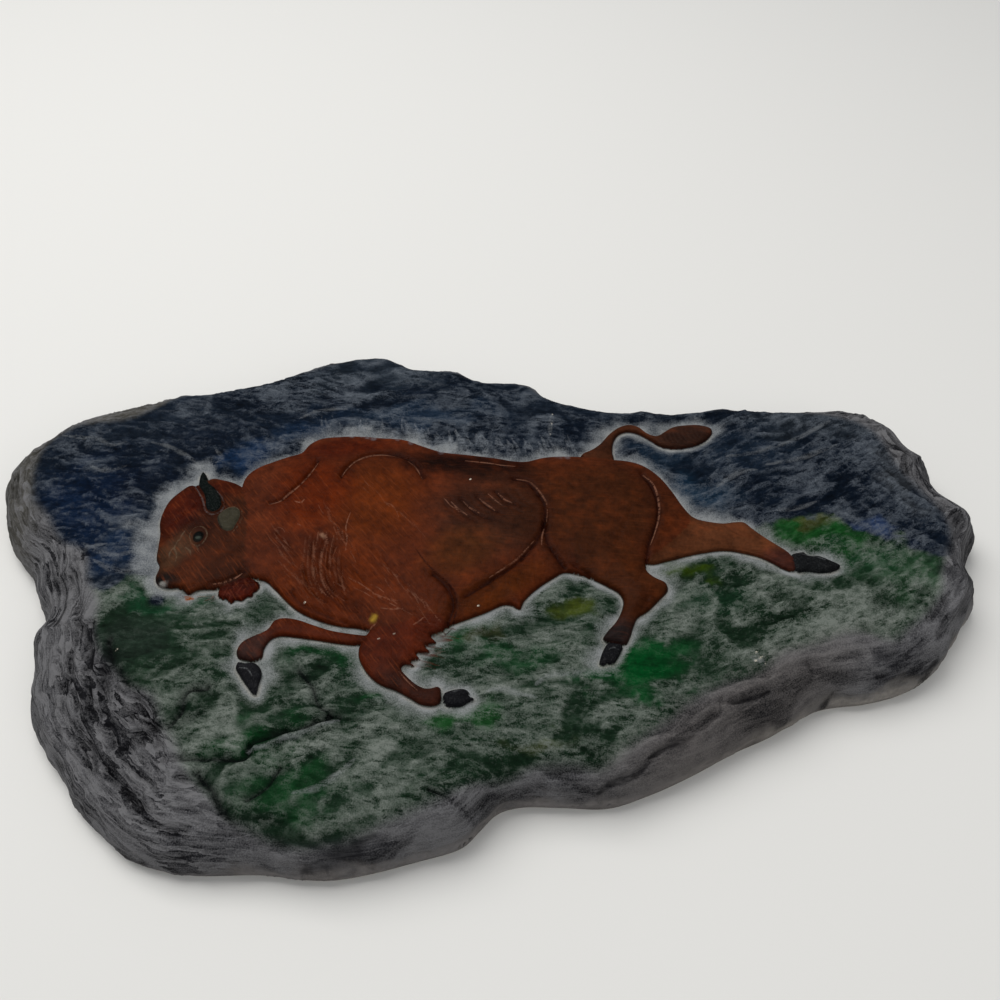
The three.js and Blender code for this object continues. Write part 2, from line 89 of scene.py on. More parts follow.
relief = {"edge": 2.2, "shoulder": 1.8}    # step at the bison's contour, and where it has risen
joint = {"fill": 0.35, "range": 0.7}       # filling where two parts of one height meet
ground = {
    "sunk": 2.6, "width": 9,               # how far it is sunk beside the bison, and how wide
    "muzzleWidth": 19, "muzzleFrom": (-165, -25),              # wider before the face
    "waves": [(0.9, 38, 61, 0), (0.7, 57, -33, 1.3), (0.5, 21, 27, 0.4)],
    "calm": 30, "smooth": (1, 9),          # its waves and ridges fade in over these widths
}

# The bison's parts: rise of the rounded middle, the width it takes, and the closed contour.
# A lift keeps a part above the one that it lies on.
bison = {
    "trunk": {"rise": 3.8, "reach": 34, "colour": (72, 33, 19), "contour": [
        (-155, -19), (-153, -11), (-147, -4.5), (-139, 0), (-130, 4.5), (-123, 7.5), (-119, 14.5),
        (-112, 19.8), (-100, 21.6), (-88, 22), (-74, 20.5), (-60, 19), (-48, 13.5), (-36, 8.5),
        (-20, 6), (-2, 3), (8, 0.7), (16, 0.3), (25, 3.2), (33, 4.5), (55, 4), (69, 2), (80, 0.2),
        (88, -3.5), (96, -11.5), (102, -22), (107, -34), (112, -50), (100, -66), (70, -84),
        (50, -87), (36, -84.5), (30, -88), (20, -96), (13, -104), (10.5, -109.5), (7, -107),
        (2, -106.5), (-8, -111.5), (-18, -116), (-30, -121), (-60, -130), (-71, -123),
        (-88, -119.8), (-100, -115.6), (-110, -110), (-117, -103.5), (-124, -96), (-130, -90.5),
        (-137, -88.5), (-147, -84), (-152, -60), (-153, -32),
    ]},
    "head": {"rise": 3.4, "reach": 24, "colour": (52, 27, 17), "contour": [
        (-154, -21), (-160, -17.2), (-167, -15), (-173, -13.8), (-177, -16), (-181.5, -19.5),
        (-186, -19.5), (-191, -24.5), (-196, -32), (-198, -41), (-198, -49), (-196, -57),
        (-195, -66), (-194, -75), (-191, -81), (-191.5, -89), (-188, -94), (-182, -95.6),
        (-176, -95.5), (-171, -99.5), (-166, -97), (-156, -96), (-146, -92), (-138, -88),
        (-138, -70), (-141, -48), (-147, -32),
    ]},
    "beard": {"rise": 0.8, "reach": 8, "colour": (60, 21, 14), "contour": [
        (-134, -91), (-133, -96), (-135.5, -98), (-136, -101.5), (-139, -100.8), (-140.5, -104),
        (-144, -103), (-147, -105.3), (-149.5, -102.3), (-153, -102), (-155, -98.5), (-153, -92),
        (-145, -87),
    ]},
    "horn": {"lift": 1.4, "rise": 2.2, "reach": 6, "colour": (14, 18, 17), "contour": [
        (-180.3, -8), (-177.2, -12.7), (-174.7, -19.5), (-169.3, -25), (-165.5, -30.5),
        (-163.3, -38), (-164.4, -41.5), (-167.4, -43.2), (-170.3, -42), (-171.9, -39),
        (-173, -34), (-175.2, -28.8), (-178.9, -23), (-181, -18.8), (-181.7, -14.3),
        (-181.4, -10.2),
    ]},
    "ear": {"lift": 0.9, "rise": 0.6, "reach": 5, "colour": (52, 49, 39), "contour": [
        (-163.5, -47.8), (-162, -43.5), (-158, -40), (-154.5, -39.6), (-151.8, -42.4),
        (-151.2, -46.8), (-152.6, -53.4), (-153.9, -57.6), (-157.8, -57.2), (-161, -54),
    ]},
    "farForeleg": {"rise": 1.2, "reach": 8, "colour": (68, 29, 17), "contour": [
        (-121.5, -117), (-117, -115), (-109, -116), (-100, -119.4), (-90, -123), (-80, -125),
        (-70, -126.4), (-62, -128), (-74, -132), (-84, -131.4), (-96, -129.2), (-108, -127.3),
        (-117, -126.6), (-121.5, -129), (-124, -134.5), (-124.5, -140), (-127, -141.8),
        (-133, -141.5), (-136.5, -140), (-138.2, -135), (-136, -130), (-130, -126),
        (-124, -122.3),
    ]},
    "farForeHoof": {"rise": 1.2, "reach": 6, "colour": (24, 24, 26), "contour": [
        (-136.3, -142.5), (-137, -146), (-134, -151), (-129.5, -157), (-124, -162.7),
        (-123, -156), (-122.5, -150), (-124.5, -145.5), (-128, -142.8), (-132, -143.3),
    ]},
    "nearForeleg": {"rise": 2.6, "reach": 14, "colour": (68, 28, 17), "contour": [
        (-62, -112), (-71, -126), (-74, -133), (-74, -139), (-71.5, -145), (-67, -151.5),
        (-61, -156.5), (-53, -160), (-46, -164), (-40, -167.8), (-34, -168.6), (-30.5, -167),
        (-29.8, -161), (-31, -157.2), (-37, -158.5), (-42, -156.5), (-47, -152), (-51, -147),
        (-51, -144.5), (-44, -145), (-47, -142.5), (-41.5, -141), (-44, -137.5), (-36.5, -136.5),
        (-40, -132.5), (-33.5, -130.5), (-37, -126.5), (-30, -123), (-26, -112), (-30, -98),
    ]},
    "nearForeHoof": {"rise": 1.4, "reach": 6, "colour": (22, 22, 24), "contour": [
        (-28.3, -161), (-24, -159.2), (-18, -158.6), (-15.5, -160.5), (-16, -162.5),
        (-12.6, -164.3), (-16, -166.5), (-20, -168.6), (-27.5, -168), (-29, -164.5),
    ]},
    "nearHindLeg": {"rise": 4.2, "reach": 30, "colour": (58, 30, 17), "contour": [
        (60, -4), (80, -4), (86, -10), (90.7, -20), (93, -30), (92.4, -42), (89.2, -54), (85, -64),
        (82.7, -74), (82, -83), (86, -88), (92, -92), (92.3, -96.5), (87, -103), (80, -110.5),
        (74, -115), (71.5, -120), (69, -127), (66, -132), (61, -131), (55, -130), (54.8, -127.5),
        (58, -122.5), (62.5, -117), (66, -110), (67.3, -104), (65.5, -99), (60, -94.5), (52, -89.5),
        (44, -85), (36, -79), (30, -68), (28, -55), (32, -35), (42, -16),
    ]},
    "nearHindHoof": {"rise": 1.4, "reach": 6, "colour": (22, 22, 24), "contour": [
        (57, -130.9), (54.5, -134.5), (52.3, -140), (51.6, -144), (54, -145), (56.8, -143),
        (58.2, -144.5), (61, -141.5), (63.7, -136.5), (65, -132.7), (61.5, -131.3),
    ]},
    "farHindLeg": {"rise": 1.6, "reach": 14, "colour": (78, 45, 28), "contour": [
        (98, -22), (103, -27), (108, -36), (113.5, -44.5), (121, -47.3), (130, -48.7),
        (136, -47.8), (142, -47.9), (146, -52.5), (152, -59), (159, -65.5), (164, -70.5),
        (166, -76), (164.5, -83.5), (160, -82.5), (154, -78), (147, -73.5), (138, -70.5),
        (128, -68.7), (117, -70), (107, -72.3), (96, -75.7), (83, -78), (80, -60), (88, -38),
    ]},
    "farHindHoof": {"rise": 1.4, "reach": 6, "colour": (22, 23, 24), "contour": [
        (165.5, -71.5), (169.5, -70.5), (172.5, -69.9), (173.8, -72.3), (180, -72.8), (186, -76),
        (191.3, -80), (187, -83.3), (180, -84.6), (171, -83.6), (165.5, -83.8), (164, -78),
    ]},
    "tail": {"rise": 1.2, "reach": 6, "colour": (58, 33, 22), "contour": [
        (50, 6), (57, 11), (62, 15.5), (69, 25), (76, 31), (82, 32.8), (88, 30.6), (93, 25),
        (98, 22.7), (103, 26), (109, 30.5), (118, 32.4), (128, 32.2), (134.3, 28.5), (131, 21.5),
        (124, 16), (116, 13), (107, 12.2), (100, 14.3), (94, 19.5), (87, 25), (80, 26.7),
        (74.5, 24), (71, 18), (69.7, 10), (69.5, 0), (60, -3),
    ]},
}

eye = {"at": (-171.9, -62), "taller": 1.3, "ball": 2.8, "lid": 5, "rise": 1.2, "lidRise": 0.5,
       "lidWidth": 0.8}

# Carved lines: width, depth and course.
carved = {
    "shoulder": (4.4, 1.9, [(-95.5, -16), (-93, -9), (-87, -1), (-77, 3.5), (-67, 3.5), (-57, 0),
                          (-50, -8), (-46, -17)]),
    "neck": (4, 1.6, [(-135.5, -36.5), (-128.5, -34), (-120.5, -23), (-113.5, -10.5),
                        (-111, -1.5)]),
    "chestFold": (3, 1.1, [(-99.5, -62), (-101.3, -77), (-100, -85.5), (-97.7, -93.5),
                           (-93.6, -101.5), (-88.9, -107.3), (-84.6, -111.2), (-76.5, -113.1)]),
    "secondFold": (2.6, 0.9, [(-93.6, -70), (-95.9, -81), (-95.6, -90.5), (-92.4, -97.5),
                              (-89.3, -104.4), (-84.8, -109), (-78, -111)]),
    "thirdFold": (2.6, 0.8, [(-88.5, -87), (-87.7, -96.5), (-85.4, -103.4), (-81.8, -107),
                             (-75, -109.5)]),
    "frontFold": (3, 1.1, [(-107.5, -66), (-105.4, -77), (-103.5, -85.4), (-101.9, -92.5),
                           (-98.7, -98.5), (-94, -104)]),
    "outerFold": (2.6, 0.9, [(-108.5, -86), (-105.3, -97.5), (-99.7, -103.4), (-93.7, -107.3),
                             (-91, -112)]),
    "lowFold": (2.6, 1.3, [(-114, -100), (-108, -107), (-99, -112), (-91, -116), (-82, -119.5)]),
    "shortFold": (2.6, 0.9, [(-127, -59.5), (-121, -66.5), (-115, -74.5)]),
    "breast": (2.2, 0.5, [(-89.3, -49), (-87.4, -56), (-86.8, -66)]),
    "palm": (2.2, 0.4, [(-59.5, -89), (-55.5, -97)]),
    "ribEnd": (4.2, 2, [(8, -17), (16, -19), (22, -29), (26, -38), (26, -49), (20.5, -65),
                        (10, -80), (-5, -92.5), (-19, -103)]),
    "thighFront": (4.2, 2, [(26, -49), (26.5, -64), (30.5, -73.5), (36, -82.5)]),
    "groin": (2.6, 1.3, [(40.5, -80.5), (46, -84.5), (50, -87.5)]),
    "thighBack": (4.4, 2.2, [(85, -11.5), (90, -21.5), (92.5, -33), (92, -45), (88.5, -57),
                           (84.5, -66), (82.5, -76.5)]),
    "thighLine": (2.2, 0.4, [(77, -39), (74, -47), (70, -56.5), (67, -64.5)]),
    "elbow": (4.6, 1.9, [(-37.5, -88), (-29.5, -96.5), (-26, -104), (-25.5, -111), (-28, -119.5)]),
    "jaw": (3.4, 1.4, [(-142, -85.5), (-149, -91), (-160, -94)]),
    "mouth": (2, 0.7, [(-177.5, -97), (-173.4, -97), (-168.4, -94.8)]),
    "cheek": (2, 0.35, [(-159, -70.5), (-154, -72), (-148.4, -71.2), (-145.4, -69)]),
    "forehead": (2.6, 0.9, [(-194.5, -57), (-191, -60.8), (-186.4, -60.8), (-184.2, -57),
                            (-182.4, -51.7), (-178.9, -48.6)]),
    "brow": (1.8, 0.9, [(-178.2, -60), (-176.2, -55), (-172, -53.2), (-167.8, -54.6)]),
    "beardTop": (3, 1.0, [(-158, -95.5), (-149.5, -93.5), (-139.5, -91.5), (-131, -91.5)]),
    "underChest": (3, 0.6, [(-129, -95), (-119, -108), (-113, -112.5), (-100, -117.6),
                            (-89, -121.5), (-72, -124.9), (-64.5, -121.5), (-64, -116), (-69, -113)]),
    "hornFoot": (2.8, 1.0, [(-182.7, -21), (-178, -28.5), (-174.3, -35.5), (-172.2, -41.5),
                            (-167.8, -45), (-163, -42.5), (-161.9, -37.5), (-164.5, -31),
                            (-169, -25.5)]),
    "firstRib": (2.6, 1.4, [(-23.5, -34), (-20, -37.5), (-15, -43.5), (-10, -47.5), (-6, -48.5)]),
    "secondRib": (2.6, 1.4, [(-14, -32), (-10, -36.5), (-5, -41.5), (-1, -43.5)]),
    "thirdRib": (2.4, 1.3, [(-3, -28), (1, -33), (5, -36.5), (9, -38)]),
    "lastRib": (2.2, 0.9, [(-29.5, -36.5), (-24.5, -42.5), (-20, -46.5), (-15, -50)]),
    "back": (2.4, 0.9, [(-21, -3), (-13, -4), (-6, -5)]),
    "loin": (2.4, 0.9, [(0, -6.5), (9, -7.5), (12, -4)]),
    "hip": (2, 0.5, [(26.5, -22), (34.5, -22), (43.5, -22.5)]),
    "hock": (2, 0.9, [(80.5, -103), (78.5, -108.5), (75.5, -111)]),
    "cleftFar": (1.6, 0.8, [(-129, -146), (-126, -153), (-124.5, -159)]),
    "cleftNear": (1.6, 0.8, [(-27, -163), (-21, -163.5), (-15.5, -164)]),
    "cleftHind": (1.6, 0.8, [(57.5, -135), (57, -140), (56.5, -143.5)]),
    "cleftFarHind": (1.6, 0.8, [(170, -77), (178, -77.5), (186, -79.5)]),
    "hockFront": (2, 0.7, [(78.5, -86), (75.5, -93)]),
    "farShin": (2, 0.7, [(131, -67.5), (138, -68.5), (146.5, -71.5), (152.5, -74.5), (158, -78.5)]),
    "farHock": (2, 0.7, [(130, -52), (134, -56.5), (138, -59.5)]),
    "farForeShin": (2, 0.4, [(-127, -123.5), (-129, -131.5), (-130.5, -139.5)]),
    "foreShin": (2.2, 0.5, [(-52, -149.5), (-47, -155.5), (-42, -160.5)]),
    "plateEdge": (6, 2.6, [(-207, -128), (-201.5, -143), (-194.5, -150.5), (-182, -166),
                           (-170, -182.5), (-163.5, -195)]),
    "plateOuter": (6, 2.4, [(-206, -146), (-203, -159), (-194.5, -178), (-183.5, -196),
                            (-168, -208)]),
    "chip": (4, 2, [(-184, -190), (-178, -181), (-174.5, -184), (-167, -192)]),
    "crackTop": (5.4, 2.6, [(-176, -177), (-166, -181), (-160.5, -172), (-159, -160.5),
                            (-149, -158)]),
    "crackMiddle": (5.6, 2.8, [(-163, -197), (-151.5, -196.5), (-138.5, -196.5), (-123.5, -196),
                             (-122, -189), (-109.5, -184.5), (-94, -179.5), (-83, -174)]),
    "crackLow": (6, 2.8, [(-124, -228), (-130.5, -222), (-135.5, -214), (-146, -204)]),
    "plateLow": (4, 1.8, [(-119, -218), (-110.5, -211.5), (-105.5, -202)]),
    "plateRight": (4, 1.6, [(-103.5, -148.5), (-95.5, -158.5), (-90.5, -169.5), (-79.5, -175.5)]),
    "crackOuter": (8, 3, [(-240, -84), (-228, -112), (-224, -140), (-214, -166), (-196, -196),
                          (-172, -218)]),
    "lip": (4.4, 2.2, [(22.5, -202), (33.5, -204), (46, -208), (57, -204.5), (67.5, -200.5),
                       (75, -193.5), (85, -187), (96, -180), (107, -172)]),
    "lipRight": (4, 1.8, [(111.5, -189), (122, -185), (130, -178), (140.5, -174), (145, -168.5),
                          (159, -164.5), (171, -156), (177, -153)]),
    "lipUpper": (4.4, 2, [(103, -178), (106.5, -174), (110.5, -170.8), (111, -166.3), (121, -165),
                         (129, -163), (138, -158.8)]),
    "lipFar": (4.4, 2.2, [(117, -183.6), (127.6, -179.8), (138, -176.5), (146.7, -171.4),
                          (152.4, -168), (159.5, -163.4), (167, -158), (176.4, -151.7)]),
    "lipStep": (3.6, 1.6, [(145.5, -157.6), (153.8, -154), (162.7, -148), (160, -143.4)]),
    "lipLeft": (4, 1.8, [(-33.5, -214), (-24, -217.5), (-14, -222.5), (-8, -221), (-3, -214)]),
    "pit": (9, 2, [(215, -143.5), (228.5, -139), (237, -133)]),
}

# Soft ridges that stand up from the rock: width, height and course.
raised = {
    "finger": (15, 2.6, [(-228, -182), (-215.5, -196), (-202, -210), (-186, -222), (-170.5, -231.5),
                         (-158, -238)]),
    "plate": (17, 1.8, [(-200, -154), (-191, -170), (-183, -184)]),
    "plateFoot": (7, 1.6, [(-123, -192), (-113.5, -190), (-101, -186), (-89, -180), (-81, -178)]),
    "plateTop": (7, 1.5, [(-168, -183), (-157, -176), (-150, -171)]),
    "lowPlate": (8, 1.5, [(-123, -228.5), (-113, -225.5), (-105, -227), (-96, -222)]),
    "outerStrand": (9, 2, [(-262, -95), (-250, -128), (-243, -156), (-228, -180)]),
    "innerStrand": (8, 2, [(-233, -100), (-226, -125), (-220, -150), (-207, -176), (-190, -200)]),
    "rimStrand": (7, 1.6, [(229, 43), (241, 31), (247, 13), (252, -4), (258, -20), (265, -36)]),
    "rimLower": (8, 1.8, [(267, -40), (272, -50), (267, -62), (256, -76), (257, -96), (244, -112)]),
    "lipStrand": (7, 1.5, [(86, -165), (97, -171), (109, -170), (112, -179), (116, -186)]),
}

# Rows of short carved strokes: from, to, stroke across and up, how many, width, depth.
hatchForm = {"length": 0.85, "longer": 0.3, "bend": 0.12}    # uneven lengths, slightly bent
hatching = [
    ((-153, -97), (-136, -93.5), (-4, -8), 8, 1.8, 0.6),
    ((96.5, 19.5), (125, 26.5), (5, -9), 11, 1.8, 0.45),
    ((-45.5, -113), (-44, -138), (10, -4), 9, 1.8, 0.6),
    ((-193, -54), (-178, -36), (7, 8), 9, 1.6, 0.25),
    ((-186, -33), (-168, -28), (-5, -9), 7, 1.6, 0.2),
    ((-160, -27), (-148, -36), (5, 5), 5, 1.6, 0.2),
    ((-128, -78), (-116, -96), (8, -6), 6, 1.8, 0.3),
    ((-72, -66), (-52, -92), (6, -11), 7, 1.8, 0.3),
    ((-82, -84), (-66, -104), (9, -7), 6, 1.8, 0.35),
    ((-34, -34), (9, -26), (12, -14), 9, 1.7, 0.5),
    ((-44, -76), (-30, -102), (-3, -9), 7, 1.8, 0.3),
]

# Lines of paint: colour, half width, strength, and courses or the names of carved lines.
brushed = [
    ("worn", 0.6, 0.6, [
        [(-135.5, -36.5), (-129.5, -34.5), (-125.5, -29.5), (-119.5, -22), (-114.5, -12.5),
         (-111, -3.5)],
        [(-120.5, -35.5), (-116.5, -36.5), (-115, -34)],
        [(-95, -14), (-93.5, -10), (-89, -3), (-84, 1), (-77, 3.5), (-69, 3.5), (-61.5, 1)],
        [(-56, -2), (-51.5, -6.5), (-48.5, -12.5), (-46.5, -17)],
        [(86.5, -12.5), (91.5, -20.5), (93.5, -33), (92.5, -45.5), (89, -57.5), (85.5, -66.5)],
        [(-158, -93.4), (-154.2, -92.7), (-150.6, -91.3), (-146.4, -89.2), (-143.3, -86.4)],
    ]),
    ("worn", 0.5, 0.45, [
        [(-101, -60.5), (-98.5, -62.5)], [(-116.5, -52.5), (-114.5, -54.5)],
        [(-87, -44.5), (-88.5, -54.5), (-87, -64.5), (-87, -72.5)],
        [(10, -16.5), (17, -18.5), (23.5, -28), (27.5, -38), (27, -49.5)],
        [(19.5, -64.5), (9, -78.5), (-6, -91)], [(25.5, -53.5), (24, -61.5), (23.5, -68)],
        [(-21.5, -35), (-18, -39.5), (-12, -44.5)], [(-12, -33), (-8, -37.5), (-3, -42)],
        [(-1, -29), (3, -34), (7, -36.5)], [(-65.5, -120), (-70, -124)],
        [(-28.5, -36), (-23.5, -42), (-19, -46)], [(-33, -33), (-29, -38.5), (-24, -43)],
        [(-7, -29.5), (-3, -34.5), (1, -38.5)],
        "foreShin",
        [(-64, -111.2), (-57.7, -112.1), (-52.2, -111.6)], [(-46, -121.6), (-41, -117.3)],
        [(-21, -1.5), (-13, -2.5), (-6, -3.5), (0, -5), (9, -6)],
        [(-167.3, -100.3), (-162.2, -101), (-157.8, -100.3)],
    ]),
    ("worn", 0.45, 0.3, [
        [(-98, -64), (-99.8, -76), (-98.6, -85), (-96.3, -93), (-92, -100.5)],
        [(-106, -66.5), (-103.9, -77), (-102, -85), (-100.4, -92)],
        [(-92.2, -70), (-94.4, -81), (-94, -90)], [(-87, -87), (-86.2, -96), (-84, -102.5)],
    ]),
    ("lid", 0.55, 0.4, [
        [(-176.7, -62.3), (-176.9, -58.6), (-175.7, -55.9), (-172.5, -54.4), (-169.2, -56.3),
         (-167.1, -60.8), (-167.6, -64.6), (-168.7, -67.5), (-171.3, -69), (-174.7, -66.8),
         (-176.7, -62.3)],
        [(-180.6, -57.8), (-181.7, -60.8), (-182.1, -64.6)], [(-185, -70), (-186, -74), (-185.4, -77)],
        [(-183.2, -64.6), (-183.9, -69.8), (-181.6, -74.9), (-181.3, -79.2)],
        [(-177.5, -69.8), (-174.8, -72), (-173.6, -74.9)], [(-171.2, -69.8), (-169.4, -72.7)],
        [(-150.6, -42), (-149.8, -47), (-151.2, -54), (-153, -58.5)],
    ]),
    ("haze", 0.7, 0.2, [
        "hornFoot",
    ]),
    # A line of painted shade beside the elbow.
    ("foldShade", 0.8, 0.8, [
        [(-48.3, -69.8), (-40.2, -82.4), (-30, -93.5), (-24.5, -101.5), (-23.5, -111.2),
         (-26.6, -122.5), (-32.6, -128.1)],
    ]),
    ("haze", 1.8, 0.24, [
        [(-217, 16), (-205, 12), (-193, 5), (-184, -3)], [(-176, 10), (-171, 3), (-174, -1)],
        [(-275, 23), (-264, 20), (-250, 18), (-241, 13), (-233, 16)],
        [(-251, -4), (-238, -8), (-228, -4)],
        [(-239, -63), (-227, -70), (-217, -73), (-208, -70), (-200, -73)],
        [(-230, -75), (-218, -82), (-208, -84), (-200, -80)], [(-239, -68), (-234, -66), (-225, -64)],
        [(-128, 38), (-116, 46), (-99, 48)], [(31, 22), (32, 31), (33, 40)],
        [(139.5, 4), (161, 9.5), (181, 18.5), (210, 36)], [(130, -21), (143.5, -10), (156.5, -6)],
        [(163, -2), (184.5, 4), (210, 15.5)], [(162.5, -39.5), (174.5, -37), (187.5, -31.5)],
    ]),
    ("haze", 2.4, 0.35, [
        [(-7, -161), (0, -159), (12, -163), (18.5, -164)],
        [(18.5, -156), (25.5, -151), (39.5, -150), (56.5, -151)],
        [(-97.5, -215.5), (-85, -212), (-76.5, -205.5), (-70.5, -198.5)],
        [(-123, -193), (-113, -190), (-101, -186), (-89, -180), (-80, -178)],
        [(130.5, -142), (134.5, -144), (138, -145)],
    ]),
    ("stain", 2.4, 1, [[(-172.5, -100.5), (-170, -102), (-167.5, -103)]]),
    # Lines of painted shade in the cracks along the lower edge.
    ("crackShade", 1.6, 0.75, [
        [(73, -194), (79, -190.6), (84.5, -188), (94, -183.6), (102, -179)],
        [(48, -208.4), (55.5, -204.8), (64, -201.7), (73, -196.5)],
        "lipFar",
        [(112, -167.4), (121, -165), (129, -163), (137.6, -158.8)],
        [(224, -143), (229.5, -138.4), (236, -132)],
    ]),
    # Painted shade along the ear's edge.
    ("crackShade", 0.7, 0.7, [[(-163.6, -46), (-162.6, -50), (-160.6, -54.5), (-157.5, -57.6)]]),
    ("lid", 0.5, 0.6, [[(-162, -43.3), (-158, -39.8), (-154.5, -39.4), (-151.8, -42.4)]]),
    # Painted highlights along the hooves' edges and clefts.
    ("haze", 0.5, 0.25, [
        [(-134.5, -147), (-130, -148), (-127, -152)], [(-25.5, -161), (-19, -160.5)],
        [(169, -72.5), (176, -74), (184, -77.5)], [(57, -136), (60, -135), (62.5, -136.5)],
    ]),
    # Painted shade along the lower edge, at the left.
    ("crackShade", 3, 0.5, [[(-93, -245), (-81, -243), (-69, -238.5), (-58, -233.5)]]),
]

specks = {    # chips down to bare plaster
    "width": 0.55, "strength": 0.9, "length": 0.5, "rise": 0.3,
    "at": [(-201.5, -135), (-64, -130.5), (-56, -127.5), (-106, -107), (-18, -18), (-12, -109),
           (133, -139), (135, -142), (137, -145), (132, -144), (178, -155), (186, -155), (31, 22),
           (32, 31), (33, 40), (186, -157)],
}

# Loose strokes of paint: colour, half width, from, to, stroke across and up, how many, strength.
tufts = [
    ("tuft", 1.4, (-112, 25), (-62, 24), (-3, 10), 22, 0.4),
    ("tuft", 1.5, (-62, 24), (-36, 13), (-3, 10), 16, 0.5),
    ("tuft", 1.5, (-36, 13), (8, 7), (-3, 10), 26, 0.5),
    ("tuft", 1.4, (8, 7), (48, 9), (-3, 10), 18, 0.4),
    ("fringe", 0.9, (-38, -118), (-46, -144), (11, -4), 20, 1.1),
    ("beardTip", 0.45, (-156, -96), (-136, -93), (-3, -8), 14, 0.6),
    ("worn", 0.35, (-134, -52), (-118, -84), (7, -9), 10, 0.3),
    ("worn", 0.3, (-82, -20), (-52, -50), (6, -8), 12, 0.35),
    ("worn", 0.35, (-88, -92), (-58, -106), (10, -6), 10, 0.45),
    # Short strokes of painted shade among the chest's folds.
    ("foldShade", 0.5, (-74, -70), (-46, -100), (8, -10), 10, 0.4),
    ("worn", 0.35, (-106, -36), (-84, -70), (4, -9), 14, 0.35),
    ("worn", 0.3, (-130, -58), (-112, -94), (8, -8), 12, 0.35),
    ("worn", 0.35, (-66, -84), (-40, -110), (6, -9), 12, 0.35),
    # More short strokes of painted shade among the chest's folds.
    ("foldShade", 0.45, (-104, -38), (-80, -72), (4, -9), 12, 0.5),
]
looseness = {"foot": 0.4, "tuftFoot": 1.7, "tip": 1.5, "middle": 1, "length": (0.5, 1.3),
             "strength": (0.3, 1), "width": (0.5, 1.2)}
wrinkles = {    # fine folds of the chest, between a first and a last one
    "first": [(-112, -60), (-111, -74), (-109.5, -87), (-105, -98), (-98, -106), (-88, -113.5)],
    "last": [(-88, -58), (-89.5, -72), (-89, -84), (-86, -94), (-81, -101), (-72, -106)],
    "count": 11, "cut": (1.7, 0.55), "starts": 14, "ends": (24, 36), "shift": 0.6,
    # A light worn edge and an edge of painted shade: colour, half width, range of strengths, place beside
    # the cut.
    "edges": [("worn", 0.45, (0.1, 0.4), -1), ("foldShade", 0.6, (0.1, 0.3), 0.4)],
}

# Distance between the points along each kind of line.
pitch = {"rim": 1.7, "paintEdge": 4, "part": 2, "contour": 1.3, "cut": 1.6, "ridge": 3, "paint": 1.3}


def smoothLine(points, pitch, closed=True):
    # A centripetal spline through the points, as points about one pitch apart.
    points = np.array(points, dtype=float)
    ends = (points[-1:], points[:2]) if closed else (points[:1], points[-1:])
    padded = np.vstack([ends[0], points, ends[1]])
    before, start, end, after = (padded[i:len(padded) - 3 + i] for i in range(4))

    def gap(p, q):
        return np.sqrt(np.linalg.norm((q - p)[:, :2], axis=1))[:, None]

    middle = gap(start, end)
    first = np.where(gap(before, start) > 0, gap(before, start), middle)
    last = np.where(gap(end, after) > 0, gap(end, after), middle)
    leave = (start - before) / first - (end - before) / (first + middle) + (end - start) / middle
    arrive = (end - start) / middle - (after - start) / (middle + last) + (after - end) / last
    t = np.linspace(0, 1, 16, endpoint=False)[None, :, None]
    legs = (start, end, leave * middle, arrive * middle)
    start, end, leave, arrive = (value[:, None, :] for value in legs)
    path = ((2 * t**3 - 3 * t**2 + 1) * start + (t**3 - 2 * t**2 + t) * leave
            + (3 * t**2 - 2 * t**3) * end + (t**3 - t**2) * arrive).reshape(-1, points.shape[1])
    path = np.vstack([path, points[:1] if closed else points[-1:]])
    run = np.concatenate([[0], np.cumsum(np.linalg.norm(np.diff(path[:, :2], axis=0), axis=1))])
    stops = np.linspace(0, run[-1], max(2, round(run[-1] / pitch)) + 1)
    line = np.stack([np.interp(stops, run, column) for column in path.T], axis=1)
    return line[:-1] if closed else line


def openLine(points, kind):
    return smoothLine(points, pitch[kind], closed=False)


def nearest(points, line, closed=True):
    # For each point: its distance to the line, and the run along it and its third number there.
    starts = line if closed else line[:-1]
    ends = np.roll(line, -1, axis=0) if closed else line[1:]
    legs = ends[:, :2] - starts[:, :2]
    lengths = np.linalg.norm(legs, axis=1)
    runs = np.concatenate([[0], np.cumsum(lengths)[:-1]])
    found = []
    for chunk in np.array_split(points, len(points) // 1500 + 1):    # in parts, to save memory
        offset = chunk[:, None, :] - starts[None, :, :2]
        share = np.clip((offset * legs).sum(axis=2) / lengths**2, 0, 1)
        gaps = np.linalg.norm(offset - share[:, :, None] * legs, axis=2)
        pick = gaps.argmin(axis=1)
        row = np.arange(len(chunk))
        part = share[row, pick]
        run = runs[pick] + part * lengths[pick]
        third = starts[pick, -1] + part * (ends[pick, -1] - starts[pick, -1])
        found.append(np.stack([gaps[row, pick], run, third]))
    return np.concatenate(found, axis=1)


def isInside(points, loop):
    across, up = points.T
    inside = np.zeros(len(points), dtype=bool)
    for (ax, az), (bx, bz) in zip(loop[:, :2], np.roll(loop[:, :2], 1, axis=0)):
        if az != bz:
            inside ^= ((az > up) != (bz > up)) & (across < (bx - ax) * (up - az) / (bz - az) + ax)
    return inside


def near(points, line, margin):
    low, high = line[:, :2].min(axis=0) - margin, line[:, :2].max(axis=0) + margin
    return np.flatnonzero(((points > low) & (points < high)).all(axis=1))


def ease(t):
    s = np.clip(t, 0, 1)
    return s * s * (3 - 2 * s)


def ramp(values, start, run):
    # From 0 at the start to 1 a run further on, or back from there where the run is negative.
    return ease((values - start) / run)


def bell(t):
    return np.exp(-(t**2))


def roundUp(t):
    return np.sqrt(1 - (1 - np.clip(t, 0, 1)) ** 2)


def between(first, last, share):
    return np.array(first) * (1 - share) + np.array(last) * share


